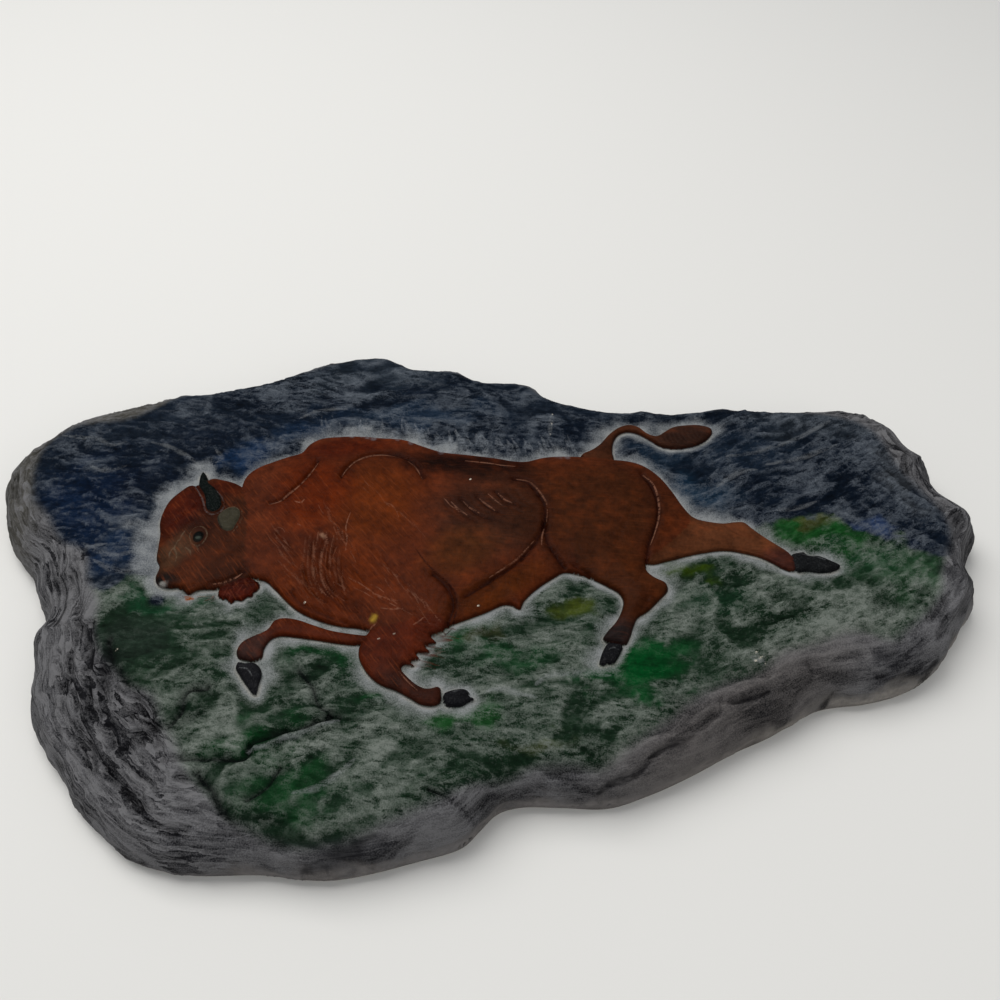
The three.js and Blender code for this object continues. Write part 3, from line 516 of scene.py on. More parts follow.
def alongside(line, offset, closed=True, spread=1):
    # The line moved to its left by an offset, its direction evened out over the neighbours.
    if closed:
        way = np.roll(line, -spread, axis=0) - np.roll(line, spread, axis=0)
    else:
        way = np.gradient(line, axis=0)
    way = way[:, :2] / np.linalg.norm(way[:, :2], axis=1)[:, None]
    return line[:, :2] + np.stack([-way[:, 1], way[:, 0]], axis=1) * np.reshape(offset, (-1, 1))


def beside(line, offset):
    return alongside(line, offset, closed=False)


def turned(points, at, turn):
    angle = math.radians(turn)
    across, up = (points - np.array(at)).T
    return np.stack([across * math.cos(angle) + up * math.sin(angle),
                     up * math.cos(angle) - across * math.sin(angle)], axis=1)


def streaks(points, size, seed, octaves=3):
    # Uneven streaks of a length and width, from about -1 to 1.
    scaled = points / np.array(size)
    return np.array([noise.fractal((u, v, seed), 1.0, 2.1, octaves) for u, v in scaled])


def bends(points, size, seeds, octaves):
    return np.stack([streaks(points, size, seed, octaves) for seed in seeds], axis=1)


rimLine = smoothLine(slab["outline"], pitch["rim"])[::-1]
rimLine[:, :2] = alongside(rimLine, slab["skin"], spread=2)
measuredRim = rimLine[::2]
paintLine = smoothLine(slab["paintEdge"], pitch["paintEdge"])
for part in bison.values():
    part["loop"] = smoothLine(part["contour"], pitch["part"])
cuts = [(width, depth, openLine(line, "cut")) for width, depth, line in carved.values()]
ribs = [(width, depth, openLine(line, "ridge")) for width, depth, line in raised.values()]

strokesOfPaint = []
for name, width, strength, group in brushed:
    for course in group:
        course = carved[course][2] if isinstance(course, str) else course
        strokesOfPaint.append((name, width, strength, openLine(course, "paint")))
for u, v in specks["at"]:
    spot = np.array([(u, v), (u + specks["length"], v + specks["rise"])])
    strokesOfPaint.append(("bare", specks["width"], specks["strength"], spot))

scatter = np.random.default_rng(8)
for name, width, first, last, stroke, count, strongest in tufts:
    spread = looseness["tuftFoot"] if name == "tuft" else 1
    for share in np.linspace(0, 1, count):
        foot = between(first, last, share)
        aside = scatter.uniform(-looseness["foot"], looseness["foot"], 2)
        foot = foot + aside * np.abs(stroke) * spread
        tip = foot + np.array(stroke) * scatter.uniform(*looseness["length"])
        tip = tip + scatter.uniform(-looseness["tip"], looseness["tip"], 2)
        middle = (foot + tip) / 2 + scatter.uniform(-looseness["middle"], looseness["middle"], 2)
        course = openLine([foot, middle, tip], "paint")
        strength = strongest * scatter.uniform(*looseness["strength"])
        strokesOfPaint.append((name, width * scatter.uniform(*looseness["width"]), strength, course))

guides = [openLine(wrinkles[end], "cut")[:wrinkles["ends"][1]] for end in ("first", "last")]
for share in np.linspace(0, 1, wrinkles["count"]):
    start, stop = scatter.integers(0, wrinkles["starts"]), scatter.integers(*wrinkles["ends"])
    line = between(*guides, share)[start:stop]
    line = line + scatter.uniform(-wrinkles["shift"], wrinkles["shift"], 2)
    cuts.append((*wrinkles["cut"], line))
    for name, width, strengths, offset in wrinkles["edges"]:
        strokesOfPaint.append((name, width, scatter.uniform(*strengths), beside(line, offset)))

for first, last, stroke, count, width, depth in hatching:
    for i in range(count):
        start = between(first, last, i / (count - 1))
        way = np.array(stroke) * (hatchForm["length"] + hatchForm["longer"] * math.sin(5 * i) ** 2)
        bend = np.array((way[1], -way[0])) * hatchForm["bend"]
        cuts.append((width, depth, openLine([start, start + way / 2 + bend, start + way], "cut")))
print("lines ready:", len(cuts), "cuts and", len(bison), "parts of the bison")

spacing = {    # of the points that the front is made of
    "rimRows": 13, "rimTurn": 4.5, "rimKept": 0.85,     # rows round the rounded edge, degrees apart
    "contourRows": (1.9, 0.9, 0.3, -0.12, -0.5, -1.1, -1.9), "hidden": 2.5,
    "paintRows": 0.9, "paintApart": 0.5, "apart": 0.7,
    "eyeRings": (6.6, 0.7), "eyeCount": 8, "eyeApart": 0.4,
    "fine": 1.3, "open": 1.75,                          # on the bison and the rock, and elsewhere
    "uneven": 0.2, "gridApart": 0.8,
}


def planPoints():
    # Points of the front, seen from the front: the rim first, then rows along every line.
    chosen = [rimLine[:, :2]]
    for k in range(1, spacing["rimRows"] + 1):
        inset = rimLine[:, 2] * (1 - math.cos(math.radians(spacing["rimTurn"] * k)))
        row = alongside(rimLine, inset, spread=4)
        chosen.append(row[nearest(row, rimLine)[0] > spacing["rimKept"] * inset])

    def offer(points, apart):
        points = points[isInside(points, rimLine)]
        tree = kdtree.KDTree(sum(map(len, chosen)))
        for i, (across, up) in enumerate(np.vstack(chosen)):
            tree.insert((across, up, 0), i)
        tree.balance()
        gaps = np.array([tree.find((across, up, 0))[2] for across, up in points])
        chosen.append(points[gaps > apart])

    contourRows = []
    for name, part in bison.items():
        contour = smoothLine(part["contour"], pitch["contour"])
        hidden = np.zeros(len(contour), dtype=bool)
        for other, under in bison.items():
            if other != name and "lift" not in part:
                within = isInside(contour[:, :2], under["loop"])
                depth = nearest(contour[:, :2], under["loop"])[0]
                hidden |= within & (depth > spacing["hidden"])
        for offset in spacing["contourRows"]:
            contourRows.append(alongside(contour, offset)[~hidden])
    offer(np.vstack(contourRows), spacing["apart"])
    paintRows = [beside(line, offset) for _, width, _, line in strokesOfPaint
                 for offset in (0, spacing["paintRows"] + width / 2, -spacing["paintRows"] - width / 2)]
    offer(np.vstack(paintRows), spacing["paintApart"])
    cutRows = [beside(line, offset) for width, _, line in cuts
               for offset in (0, width / 2, -width / 2)]
    offer(np.vstack(cutRows), spacing["apart"])
    rings = []
    for r in np.arange(0, *spacing["eyeRings"]):
        count = max(1, round(spacing["eyeCount"] * r))
        turns = [2 * math.pi * k / count for k in range(count)]
        rings += [(r * math.cos(turn), r * eye["taller"] * math.sin(turn)) for turn in turns]
    offer(np.array(eye["at"]) + np.array(rings), spacing["eyeApart"])

    scatter = np.random.default_rng(5)
    low, high = rimLine[:, :2].min(axis=0), rimLine[:, :2].max(axis=0)
    for gap in (spacing["fine"], spacing["open"]):
        rise = gap * math.sin(math.pi / 3)
        grid = np.array([(x + (k % 2) * gap / 2, low[1] + k * rise)
                         for k in range(int((high[1] - low[1]) / rise))
                         for x in np.arange(low[0], high[0], gap)])
        grid += scatter.uniform(-spacing["uneven"], spacing["uneven"], grid.shape) * gap
        fine = ~isInside(grid, paintLine)
        for part in bison.values():
            fine |= isInside(grid, part["loop"])
        offer(grid[fine] if gap == spacing["fine"] else grid[~fine], spacing["gridApart"] * gap)
    return np.vstack(chosen)


# The ground's ridges: middle, reach, turn, their size and height, share of grey.
grain = {
    "skyLeft": ((-240, -20), (55, 60), -8, (24, 7), 1.0, 0.02),
    "skyTop": ((-110, 72), (110, 40), -5, (30, 9), 0.8, 0.22),
    "skyMiddle": ((20, 48), (70, 30), -14, (28, 10), 0.7, 0.18),
    "feathers": ((-35, 19), (80, 14), 78, (14, 5), 0.8, 0.3),
    "skyRight": ((165, 12), (75, 42), 24, (36, 9), 1.4, 0.22),
    "skyFar": ((240, -5), (28, 55), -52, (24, 8), 1.7, 0.3),
    "grassLeft": ((-180, -118), (50, 28), -5, (32, 7), 1.0, 0.22),
    "grassPlates": ((-105, -190), (70, 42), 24, (26, 15), 1.4, 0.2),
    "grassMiddle": ((10, -155), (75, 45), 10, (24, 11), 1.0, 0.26),
    "grassRight": ((150, -105), (75, 38), 28, (22, 9), 1.4, 0.36),
    "grassFar": ((228, -98), (40, 36), 38, (26, 12), 1.4, 0.3),
}
rock = {    # the bare rock, and the dents in its side
    "size": (40, 9), "slant": 0.35, "height": 1.6, "perWidth": 0.02, "grey": 0.66, "edge": 7,
    "calmer": 0.4, "calmFrom": (60, 80), "seed": 90.5,
    "sideSize": (18, 9), "sideReach": 0.6, "sideSeed": 40.5,
}
ridgeForm = {"thin": 0.2, "finer": (0.42, 0.45), "rib": 0.5, "lump": 0.7, "level": -0.63,
             "ribSeed": 3, "seedStep": 5.3, "faint": 0.01, "sparse": 0.3}
groundBend = {"size": (45, 45), "seeds": (3, 11), "reach": 12, "rockReach": 5}


def ridges(points, size, seed):
    # A net of soft ridges round hollows, with finer ribs on it.
    lumps = streaks(points, size, seed, 2)
    ribs = streaks(points, np.array(size) * ridgeForm["finer"], seed + ridgeForm["ribSeed"], 2)
    crest, rib = bell(lumps / ridgeForm["thin"]), bell(ribs / ridgeForm["thin"])
    return crest + ridgeForm["rib"] * rib + ridgeForm["lump"] * lumps + ridgeForm["level"]


def groundShape(points, rimRun, rimGap, third, paintGap):
    # The ground's ridges, their height, the grey brushed on, and where rock is bare.
    bend = bends(points, groundBend["size"], groundBend["seeds"], 2)
    bent = points + groundBend["reach"] * bend
    total = np.full(len(points), 1e-3)
    shape, height, grey = (np.zeros(len(points)) for _ in range(3))
    for seed, (middle, reach, turn, size, rise, share) in enumerate(grain.values()):
        weight = np.exp(-(((points - np.array(middle)) / np.array(reach)) ** 2).sum(axis=1))
        rows = np.flatnonzero(weight > ridgeForm["faint"])
        net = ridges(turned(bent[rows], middle, turn), size, seed * ridgeForm["seedStep"])
        shape[rows] += weight[rows] * net
        height += weight * rise
        grey += weight * share
        total += weight
    shape /= np.sqrt(total * np.maximum(total, ridgeForm["sparse"]))
    height, grey = height / total, grey / total
    shift = groundBend["rockReach"] * bend
    bare = ease(0.5 + (paintGap + shift[:, 0]) / rock["edge"])
    rows = np.flatnonzero(bare > ridgeForm["faint"])
    strata = np.stack([rimRun + rock["slant"] * rimGap, rimGap + shift[:, 1]], axis=1)
    stone = np.zeros(len(points))
    stone[rows] = ridges(strata[rows], rock["size"], rock["seed"])
    shape = shape * (1 - bare) + stone * bare
    calmer = 1 - rock["calmer"] * ramp(points[:, 0], *rock["calmFrom"])
    height = height * (1 - bare) + (rock["height"] + rock["perWidth"] * third) * calmer * bare
    grey = grey * (1 - bare) + rock["grey"] * bare
    return {"shape": shape, "rough": height, "grey": grey, "bare": bare, "strata": strata}


# How far from a part or a cut the points are measured, the values further off, and the depth
# from which painted shade is laid beside a cut or a ridge.
search = {"part": 60, "cut": 10, "outside": 200.0, "foldGap": 20.0, "foldDepth": 0.7}


def measure(points):
    # Everything that the front's form and paint are worked out from, at each point of the plan.
    rimGap, rimRun, third = nearest(points, measuredRim)
    paintGap = nearest(points, paintLine)[0] * np.where(isInside(points, paintLine), -1, 1)
    outside = np.full(len(points), search["outside"])
    body, edge, groove, ridge = (np.zeros(len(points)) for _ in range(4))
    owner = np.full(len(points), -1)
    for index, part in enumerate(bison.values()):
        rows = near(points, part["loop"], search["part"])
        gap = nearest(points[rows], part["loop"])[0]
        inside = isInside(points[rows], part["loop"])
        step = roundUp(gap / relief["shoulder"])
        rise = relief["edge"] * step
        rise += part["rise"] * roundUp(gap / part["reach"])
        if "lift" in part:
            rise = np.maximum(rise, body[rows] + part["lift"] * step)
        closeness = np.clip(1 - np.abs(body[rows] - rise) / joint["range"], 0, 1) * ("lift" not in part)
        higher = inside & (rise >= body[rows])
        joined = np.maximum(body[rows], rise) + joint["fill"] * closeness**2
        owner[rows] = np.where(higher, index, owner[rows])
        edge[rows] = np.where(inside, np.maximum(edge[rows], gap), edge[rows])
        body[rows] = np.where(inside, joined, body[rows])
        outside[rows] = np.minimum(outside[rows], np.where(inside, 0, gap))
    foldGap = np.full(len(points), search["foldGap"])
    for lines, total in ((cuts, groove), (ribs, ridge)):
        for width, depth, line in lines:
            rows = near(points, line, search["cut"])
            if len(rows):
                gap = nearest(points[rows], line, closed=False)[0]
                total[rows] += depth * (1 - ease(gap / (width / 2)))
                if depth > search["foldDepth"]:
                    foldGap[rows] = np.minimum(foldGap[rows], gap)
    return {
        "rimGap": rimGap, "rimRun": rimRun, "third": third, "outside": outside, "body": body,
        "owner": owner, "edge": edge, "groove": groove, "ridge": ridge, "foldGap": foldGap,
        **groundShape(points, rimRun, rimGap, third, paintGap),
    }


def eyeGap(points):
    away = (points - np.array(eye["at"])) / np.array((1, eye["taller"]))
    return np.linalg.norm(away, axis=1)


def beforeFace(points):
    return ramp(points[:, 0], *ground["muzzleFrom"])


def frontHeight(points, at):
    width = ground["width"] + (ground["muzzleWidth"] - ground["width"]) * beforeFace(points)
    sunk = ground["sunk"] * (1 - ease(at["outside"] / width))
    swell = sum(height * np.sin(points[:, 0] / across + points[:, 1] / up + phase)
                for height, across, up, phase in ground["waves"])
    fadeIn = ease(at["outside"] / ground["calm"])
    roughness = at["rough"] * at["shape"] * ramp(at["outside"], *ground["smooth"])
    height = slab["depth"] + swell * fadeIn - sunk + at["body"] + roughness + at["ridge"] - at["groove"]
    gap = eyeGap(points)
    height += eye["rise"] * roundUp(1 - gap / eye["ball"]) * (gap < eye["ball"])
    height += eye["lidRise"] * bell((gap - eye["lid"]) / eye["lidWidth"])
    height = slab["sideDepth"] + (height - slab["sideDepth"]) * roundUp(at["rimGap"] / at["third"])
    return np.minimum(height, slab["top"])


def placed(points, height):
    # From the picture to the row frame in metres.
    return np.stack([points[:, 0] - slab["zero"][0], -height, points[:, 1] - slab["zero"][1]], axis=1) * mm


plan = planPoints()
rimFace = [list(range(len(rimLine)))]
flat = geometry.delaunay_2d_cdt([Vector(point) for point in plan], [], rimFace, 1, 1e-5, False)
plan = np.array([tuple(point) for point in flat[0]])
bridging = [face for face in flat[2] if max(face) < len(rimLine)]    # some lie outside the rim
middles = plan[np.array(bridging)].mean(axis=1)
outer = {tuple(face) for face, kept in zip(bridging, isInside(middles, rimLine)) if not kept}
triangles = [face for face in flat[2] if tuple(face) not in outer]
print("front:", len(plan), "points and", len(triangles), "triangles")

at = measure(plan)
height = frontHeight(plan, at)
print("relief from", round(height.min(), 1), "to", round(height.max(), 1), "mm")

# Dents in the side: points near the rim move inwards.
inward = alongside(measuredRim, 1, spread=6) - measuredRim[:, :2]
legs = np.roll(measuredRim, -1, axis=0) - measuredRim
around = np.linalg.norm(legs[:, :2], axis=1).sum()
inward = inward[(at["rimRun"] / around * len(measuredRim)).astype(int) % len(measuredRim)]
at["facing"] = inward[:, 1]
dents = 0.5 + streaks(np.stack([at["rimRun"], height], axis=1), rock["sideSize"], rock["sideSeed"])
fade = 1 - ease(at["rimGap"] / (rock["sideReach"] * at["third"]))
moved = plan + inward * (slab["roughSide"] * np.clip(dents, 0, 1) * fade)[:, None]


def putInOrder(form):
    # Extruding leaves the edges and faces in an order that changes from run to run.
    form.verts.index_update()
    count = len(form.verts)

    def place(element):
        numbers = sorted(corner.index for corner in element.verts)
        return (numbers[0] * count + numbers[-1]) * count + sum(numbers) % count

    form.edges.sort(key=place)
    form.faces.sort(key=place)


def buildPlaque():
    form = bmesh.new()
    source = form.verts.layers.int.new("source")
    corners = [form.verts.new(place) for place in placed(moved, height)]
    for i, corner in enumerate(corners):
        corner[source] = i
    for a, b, c in triangles:
        form.faces.new((corners[a], corners[b], corners[c]))
    rim = [edge for edge in form.edges if edge.is_boundary]
    back = alongside(rimLine, slab["backInset"] - slab["skin"], spread=4)
    for share in (0.5, 1):
        made = bmesh.ops.extrude_edge_only(form, edges=rim)["geom"]
        rim = [edge for edge in made if isinstance(edge, bmesh.types.BMEdge) and edge.is_boundary]
        for corner in {corner for edge in rim for corner in edge.verts}:
            i = corner[source]
            point = moved[i] * (1 - share) + back[i] * share
            low = slab["sideDepth"] * (1 - share)
            corner.co = placed(point[None, :], np.array([low]))[0]
    for edge in rim:
        edge.smooth = False
    putInOrder(form)
    rim = [edge for edge in form.edges if edge.is_boundary]
    bmesh.ops.holes_fill(form, edges=rim, sides=0)
    bmesh.ops.triangulate(form, faces=[face for face in form.faces if len(face.verts) > 4])
    bmesh.ops.recalc_face_normals(form, faces=form.faces)
    putInOrder(form)
    for face in form.faces:
        face.smooth = True
    loose = sum(not edge.is_manifold for edge in form.edges)
    plaque = finishMesh(form, "carvedPlaque")
    print("plaque:", len(plaque.data.polygons), "faces,", loose, "open edges")
    return plaque


def finishMesh(form, name):
    mesh = bpy.data.meshes.new(name)
    form.to_mesh(mesh)
    form.free()
    made = bpy.data.objects.new(name, mesh)
    bpy.context.collection.objects.link(made)
    return made


plaque = buildPlaque()
source = np.zeros(len(plaque.data.vertices), dtype=np.int32)
plaque.data.attributes["source"].data.foreach_get("value", source)
corners = np.zeros(3 * len(source))
plaque.data.vertices.foreach_get("co", corners)
depth = -corners.reshape(-1, 3)[:, 1] / mm
points = plan[source]
at = {name: values[source] for name, values in at.items()}

# Colours are as they look in daylight, from 0 to 255.
tones = {
    # Among them, painted shade in the cracks and folds, and a painted highlight in the eye.
    "sky": (17, 24, 34), "grass": (25, 42, 29), "haze": (132, 134, 134), "line": (142, 140, 134),
    "skyGrey": (86, 91, 97), "grassGrey": (106, 111, 104), "rock": (36, 36, 39),
    "rockGrey": (104, 103, 104), "mauve": (96, 92, 90), "weathered": (76, 74, 69),
    "crackShade": (9, 10, 12), "side": (122, 117, 114), "sideRight": (146, 140, 132),
    "base": (98, 93, 88), "bare": (205, 196, 178), "worn": (138, 96, 76),
    "foldShade": (28, 12, 8), "rust": (92, 38, 13), "lid": (104, 90, 72), "hair": (124, 62, 34),
    "tuft": (126, 130, 134), "beardTip": (98, 46, 34), "fringe": (66, 32, 22),
    "stain": (118, 62, 24), "pupil": (12, 14, 13), "paintedGlint": (62, 68, 60),
    "sheen": 0.0025,
}
horizon = [(-400, -99), (-222, -99), (-208, -92), (-193, -94), (0, -80), (156, -49), (165, -46),
           (181, -42), (197, -42), (203, -49), (212, -59), (222, -67), (244, -74), (400, -80)]

# Patches of colour: middle, half width and height, turn, colour, strength.
skyPatches = [
    ((-245, -35), (38, 40), 0, (14, 26, 45), 0.9),
    ((-222, -72), (34, 13), 0, (20, 34, 54), 0.9),
    ((-215, -20), (30, 24), 0, (14, 20, 32), 0.6),
    ((-220, 35), (52, 20), 8, (22, 29, 38), 0.7),
    ((-190, 22), (30, 16), 0, (16, 22, 32), 0.6),
    ((-158, 4), (22, 13), 30, (20, 40, 66), 0.8),
    ((-125, 30), (24, 12), 30, (18, 34, 54), 0.7),
    ((-85, 82), (60, 20), 0, (34, 41, 48), 0.6),
    ((-55, 42), (62, 13), 0, (28, 42, 58), 0.7),
    ((30, 50), (58, 16), -12, (26, 33, 42), 0.6),
    ((96, 6), (24, 14), 0, (24, 38, 52), 0.7),
    ((120, -25), (28, 14), -20, (24, 42, 58), 0.9),
    ((200, 38), (56, 18), 0, (38, 43, 48), 0.6),
    ((150, 10), (40, 20), 20, (26, 36, 48), 0.6),
    ((218, -52), (20, 11), -32, (42, 56, 84), 1),
    ((244, -12), (16, 28), 0, (52, 54, 56), 0.6),
]
grassPatches = [
    ((-188, -104), (32, 9), 0, (22, 54, 34), 0.9),
    ((-196, -130), (28, 20), 0, (35, 45, 38), 0.7),
    ((-123, -187), (28, 12), 12, (15, 56, 26), 0.9),
    ((-100, -213), (28, 13), 0, (20, 54, 28), 0.8),
    ((-95, -137), (24, 7), 0, (18, 54, 28), 0.8),
    ((-61, -166), (8, 7), 0, (14, 54, 26), 0.8),
    ((-15, -172), (26, 9), 5, (26, 66, 30), 0.8),
    ((74, -147), (25, 16), 30, (10, 58, 26), 1),
    ((54, -153), (16, 7), 0, (14, 58, 28), 1),
    ((102, -83), (15, 6), 4, (44, 60, 16), 1),
    ((122, -104), (26, 12), 0, (22, 46, 30), 0.7),
    ((184, -56), (34, 16), -14, (22, 60, 26), 1),
    ((180, -46), (16, 6), 0, (60, 56, 28), 0.7),
    ((234, -88), (28, 18), 0, (36, 60, 40), 0.9),
    ((206, -76), (26, 14), 0, (26, 56, 34), 0.9),
    ((38, -106), (14, 9), 0, (58, 66, 22), 0.9),
    ((-22, -124), (20, 12), 0, (22, 56, 30), 0.8),
    ((10, -140), (30, 9), 0, (24, 56, 32), 0.7),
    ((-8, -128), (9, 7), 0, (58, 54, 30), 0.5),
    ((20, -190), (20, 7), 0, (66, 70, 36), 0.5),
]
bisonPatches = [
    ((-74, -33), (34, 44), 0, (79, 35, 14), 1),
    ((-110.5, -27), (28, 38), 0, (77, 28, 8), 0.9),
    ((-94, -93), (38, 28), 0, (80, 33, 12), 0.8),
    ((-94, 9.5), (36, 10), 6, (58, 20, 11), 0.9),
    ((-15, -6), (60, 13), -6, (25, 14, 11), 1),
    ((-3, -44.5), (44, 38), 0, (53, 31, 22), 1),
    ((58, -40), (62, 54), 0, (54, 28, 16), 1),
    ((-22, -72), (26, 20), 30, (64, 35, 17), 0.7),
    ((-2, -97), (38, 13), 30, (64, 31, 12), 0.8),
    ((-186, -40), (17, 26), -14, (56, 20, 12), 1),
    ((-164.5, -24.5), (14, 9), 0, (62, 24, 13), 0.9),
    ((-158, -74), (20, 20), 0, (53, 27, 17), 0.8),
    ((-186.5, -76), (9, 13), 0, (60, 40, 27), 0.9),
    ((-180, -66), (9, 14), 0, (84, 62, 45), 0.4),
    ((-185.5, -92), (8, 6.5), 0, (18, 19, 18), 1),
    # A painted glint on the black muzzle.
    ((-184.9, -93.7), (3, 1.8), 0, (128, 126, 120), 1),
    ((-67.9, -117.8), (2.4, 3.6), 0, (150, 120, 42), 0.9),
    ((-100.7, -60.8), (2.2, 1.6), -30, (150, 112, 88), 0.9),
    ((60.5, -127), (17, 16), 0, (34, 28, 27), 1),
    ((-44, -161), (28, 15), -30, (46, 27, 22), 0.9),
    ((-131, -136), (13, 15), 0, (46, 33, 30), 0.9),
    ((116.5, 20), (24, 13), 0, (42, 28, 23), 0.9),
    ((160, -78), (17, 12), 0, (54, 30, 26), 0.9),
]

# Where there is more of the brushed grey, or less of it: middle, half sizes, turn, strength.
hazePatches = [
    ((174, -117), (62, 18), 6, 0.1),
    ((125, -170), (80, 14), 31, 0.15),
    ((262, -40), (26, 90), 0, -0.2),
    ((-232, -130), (26, 60), 0, 0.15),
    ((-101, -160), (26, 12), 0, 0.14),
    ((63, -158), (22, 9), 0, 0.16),
    ((31, -148), (34, 22), 10, 0.02),
    ((-35, -182), (40, 26), 0, 0.1),
    ((-146, -178), (24, 24), 40, 0.2),
    ((-98, -188), (36, 6), 14, 0.4),
    ((48, -196), (30, 9), 0, 0.15),
    ((209, -145), (24, 14), 40, -0.3),
    ((-77, -238), (34, 10), 0, -0.5),
    ((74, -147), (28, 17), 30, -0.6),
    ((38, -106), (16, 9), 0, -0.3),
    ((232, -94), (26, 16), 0, 0.1),
    ((-196, -130), (30, 22), 0, -0.3),
    ((180, -54), (26, 9), -14, -0.3),
    ((103, -82), (17, 7), 0, -0.5),
    ((-120, -187), (26, 8), 12, 0.22),
    ((-198, -222), (60, 14), -42, 0.25),
    ((-143, -226), (30, 16), 0, -0.15),
    ((-168, -128), (26, 16), 0, -0.15),
    ((10, -177), (24, 12), 0, 0.08),
    ((-165, 30), (50, 20), 0, -0.14),
    ((-115, 58), (40, 16), 0, 0.06),
    ((-178, -199), (20, 14), 0, -0.12),
    ((-182, -178), (30, 12), -60, 0.3),
    ((150, 4), (64, 30), 20, -0.08),
]
mauvePatch = ((120, -172), (100, 22), 30, 1)
# A painted highlight in the eye.
eyeGlint = ((-171.6, -63.4), (2, 1.4), 0, 0.8)
patchEdge = (0.35, 0.85)    # a patch fades from here on, over this share of its half size

# Where a zone begins, across or up, and how far it takes to come in.
zones = {
    "leftRim": (-262, -24), "topRim": (20, 20), "topLeft": (-150, -30),        # weathered rock
    "overBack": (2, 6), "backFrom": (-115, 20), "backTo": (45, -20),           # feathery grey
    "smoothSide": (-160, 50), "lightSide": (60, 130),
    "fallFrom": (-20, -40), "fallBelow": (10, -30), "riseFrom": (90, 30),      # run of the wisps
}
wander = {"size": (22, 16), "seeds": (21, 27), "ground": 14, "hide": 3, "grassEdge": 5}
# The hollows darker: partly the paint's dark wash, partly painted shade.
hollow = {"from": (-0.05, -0.7), "ground": 0.3, "rock": 0.2}    # darker paint in the hollows
hide = {
    "rust": 0.8,
    # Mottling: strength, size, turn, seed.
    "mottle": [(0.25, (26, 20), 0, 61), (0.16, (9, 4), -25, 63), (0.14, (5, 4), 0, 65)],
    # Painted shade, darker in the cuts, along the contours and beside the folds: strength and reach.
    "cut": (0.9, 2), "contour": (0.5, 1.2), "shadeBesideFolds": (0.4, 5), "pupil": (2.6, 0.9),
}
spray = {    # the grey sprayed along the bison's contour
    "width": 10, "beforeFace": 4, "besideFace": 6, "feather": 7,     # and how much wider where
    "face": (-50, 24), "feathers": (1.8, 78, (15, 3), 33), "start": 0.3,
    "flatter": 0.4, "falloff": 1.3, "strength": 0.87, "faceLess": 0.03,
    # Unevenness: strength, size, seed, least and most.
    "unevenWidth": (1.1, 18, 35, 0.5, 1.6), "unevenStrength": (0.5, 10, 37, 0.5, 1.3),
    "line": 0.9, "lineReach": (0.5, 1.2), "lineGaps": (0.6, (14, 14), 39),
}
brushing = {    # the grey brushed over the ground
    "clouds": (0.2, (46, 26), 52), "weatheredLess": 0.3, "greenLess": 0.22, "level": -0.02,
    "onShape": 0.38, "onRidge": 0.08, "most": 0.9, "mauveCalm": 0.2,
}
side = {    # the smooth side below the picture
    "facing": (0.15, 0.5), "blotches": ((22, 9), 71), "blotchFrom": 0.1, "blotchStrength": 0.9,
    "upper": (7, 12), "uneven": 9, "foot": (5, 4), "footStrength": 0.6, "strength": 0.8,
    "base": 0.5, "baseReach": 9, "greyLess": 0.6, "wildLess": 0.6,
}
# Painted shade in and beside the ground's cracks: from which depth, how far beside, away from the bison,
# less on bare rock, strength.
crackShade = {"from": (0.2, 1.5), "beside": (0.45, 4.5), "outside": (1, 6), "rockLess": 0.4,
         "strength": 0.9}
brushLine = {"margin": 5, "farthest": 4.0, "tuft": (1.3, -1.1), "other": (0.4, 0.6), "short": 2}


def tone(colour):
    # A colour seen in the photograph, less the sheen that lies over all of them.
    share = np.array(tones[colour] if isinstance(colour, str) else colour) / 255
    seen = np.where(share > 0.04045, ((share + 0.055) / 1.055) ** 2.4, share / 12.92)
    return np.maximum(seen - tones["sheen"], 0.0005)


def blend(under, over, mask):
    return under * (1 - mask[:, None]) + over * mask[:, None]


def coat(name):
    return np.tile(tone(name), (len(points), 1))


def lay(under, colour, mask):
    return blend(under, tone(colour), np.clip(mask, 0, 1))


def patchMask(spots, at, size, turn, strength):
    away = turned(spots, at, turn) / np.array(size)
    return strength * (1 - ramp(np.linalg.norm(away, axis=1), *patchEdge))


def layPatches(under, patches, spots, where):
    for *patch, colour, strength in patches:
        under = lay(under, colour, patchMask(spots, *patch, strength) * where)
    return under


def fromZone(values, name):
    return ramp(values, *zones[name])


def patchy(strength, size, seed, least, most):
    return np.clip(1 + strength * streaks(points, (size, size), seed), least, most)


across, up = points.T
bend = bends(points, wander["size"], wander["seeds"], 4)
wavering = points + wander["ground"] * bend
isGround = (at["owner"] < 0) * 1.0
skyline = np.interp(across, *zip(*horizon))
isGrass = ease(0.5 + (skyline - wavering[:, 1]) / wander["grassEdge"])
paint = lay(coat("sky"), "grass", isGrass)
paint = layPatches(paint, skyPatches, wavering, 1 - isGrass)
paint = layPatches(paint, grassPatches, wavering, isGrass)

# Bare rock, browner at the upper left, and the hollows darker: the paint's dark wash and painted shade.
weathered = fromZone(wavering[:, 1], "topRim") * fromZone(across, "topLeft")
weathered = fromZone(across, "leftRim") + weathered
paint = blend(paint, lay(coat("rock"), "weathered", weathered), at["bare"])
hollowWashAndShade = ramp(at["shape"], *hollow["from"]) * isGround
paint *= 1 - (hollow["ground"] + hollow["rock"] * at["bare"][:, None]) * hollowWashAndShade[:, None]
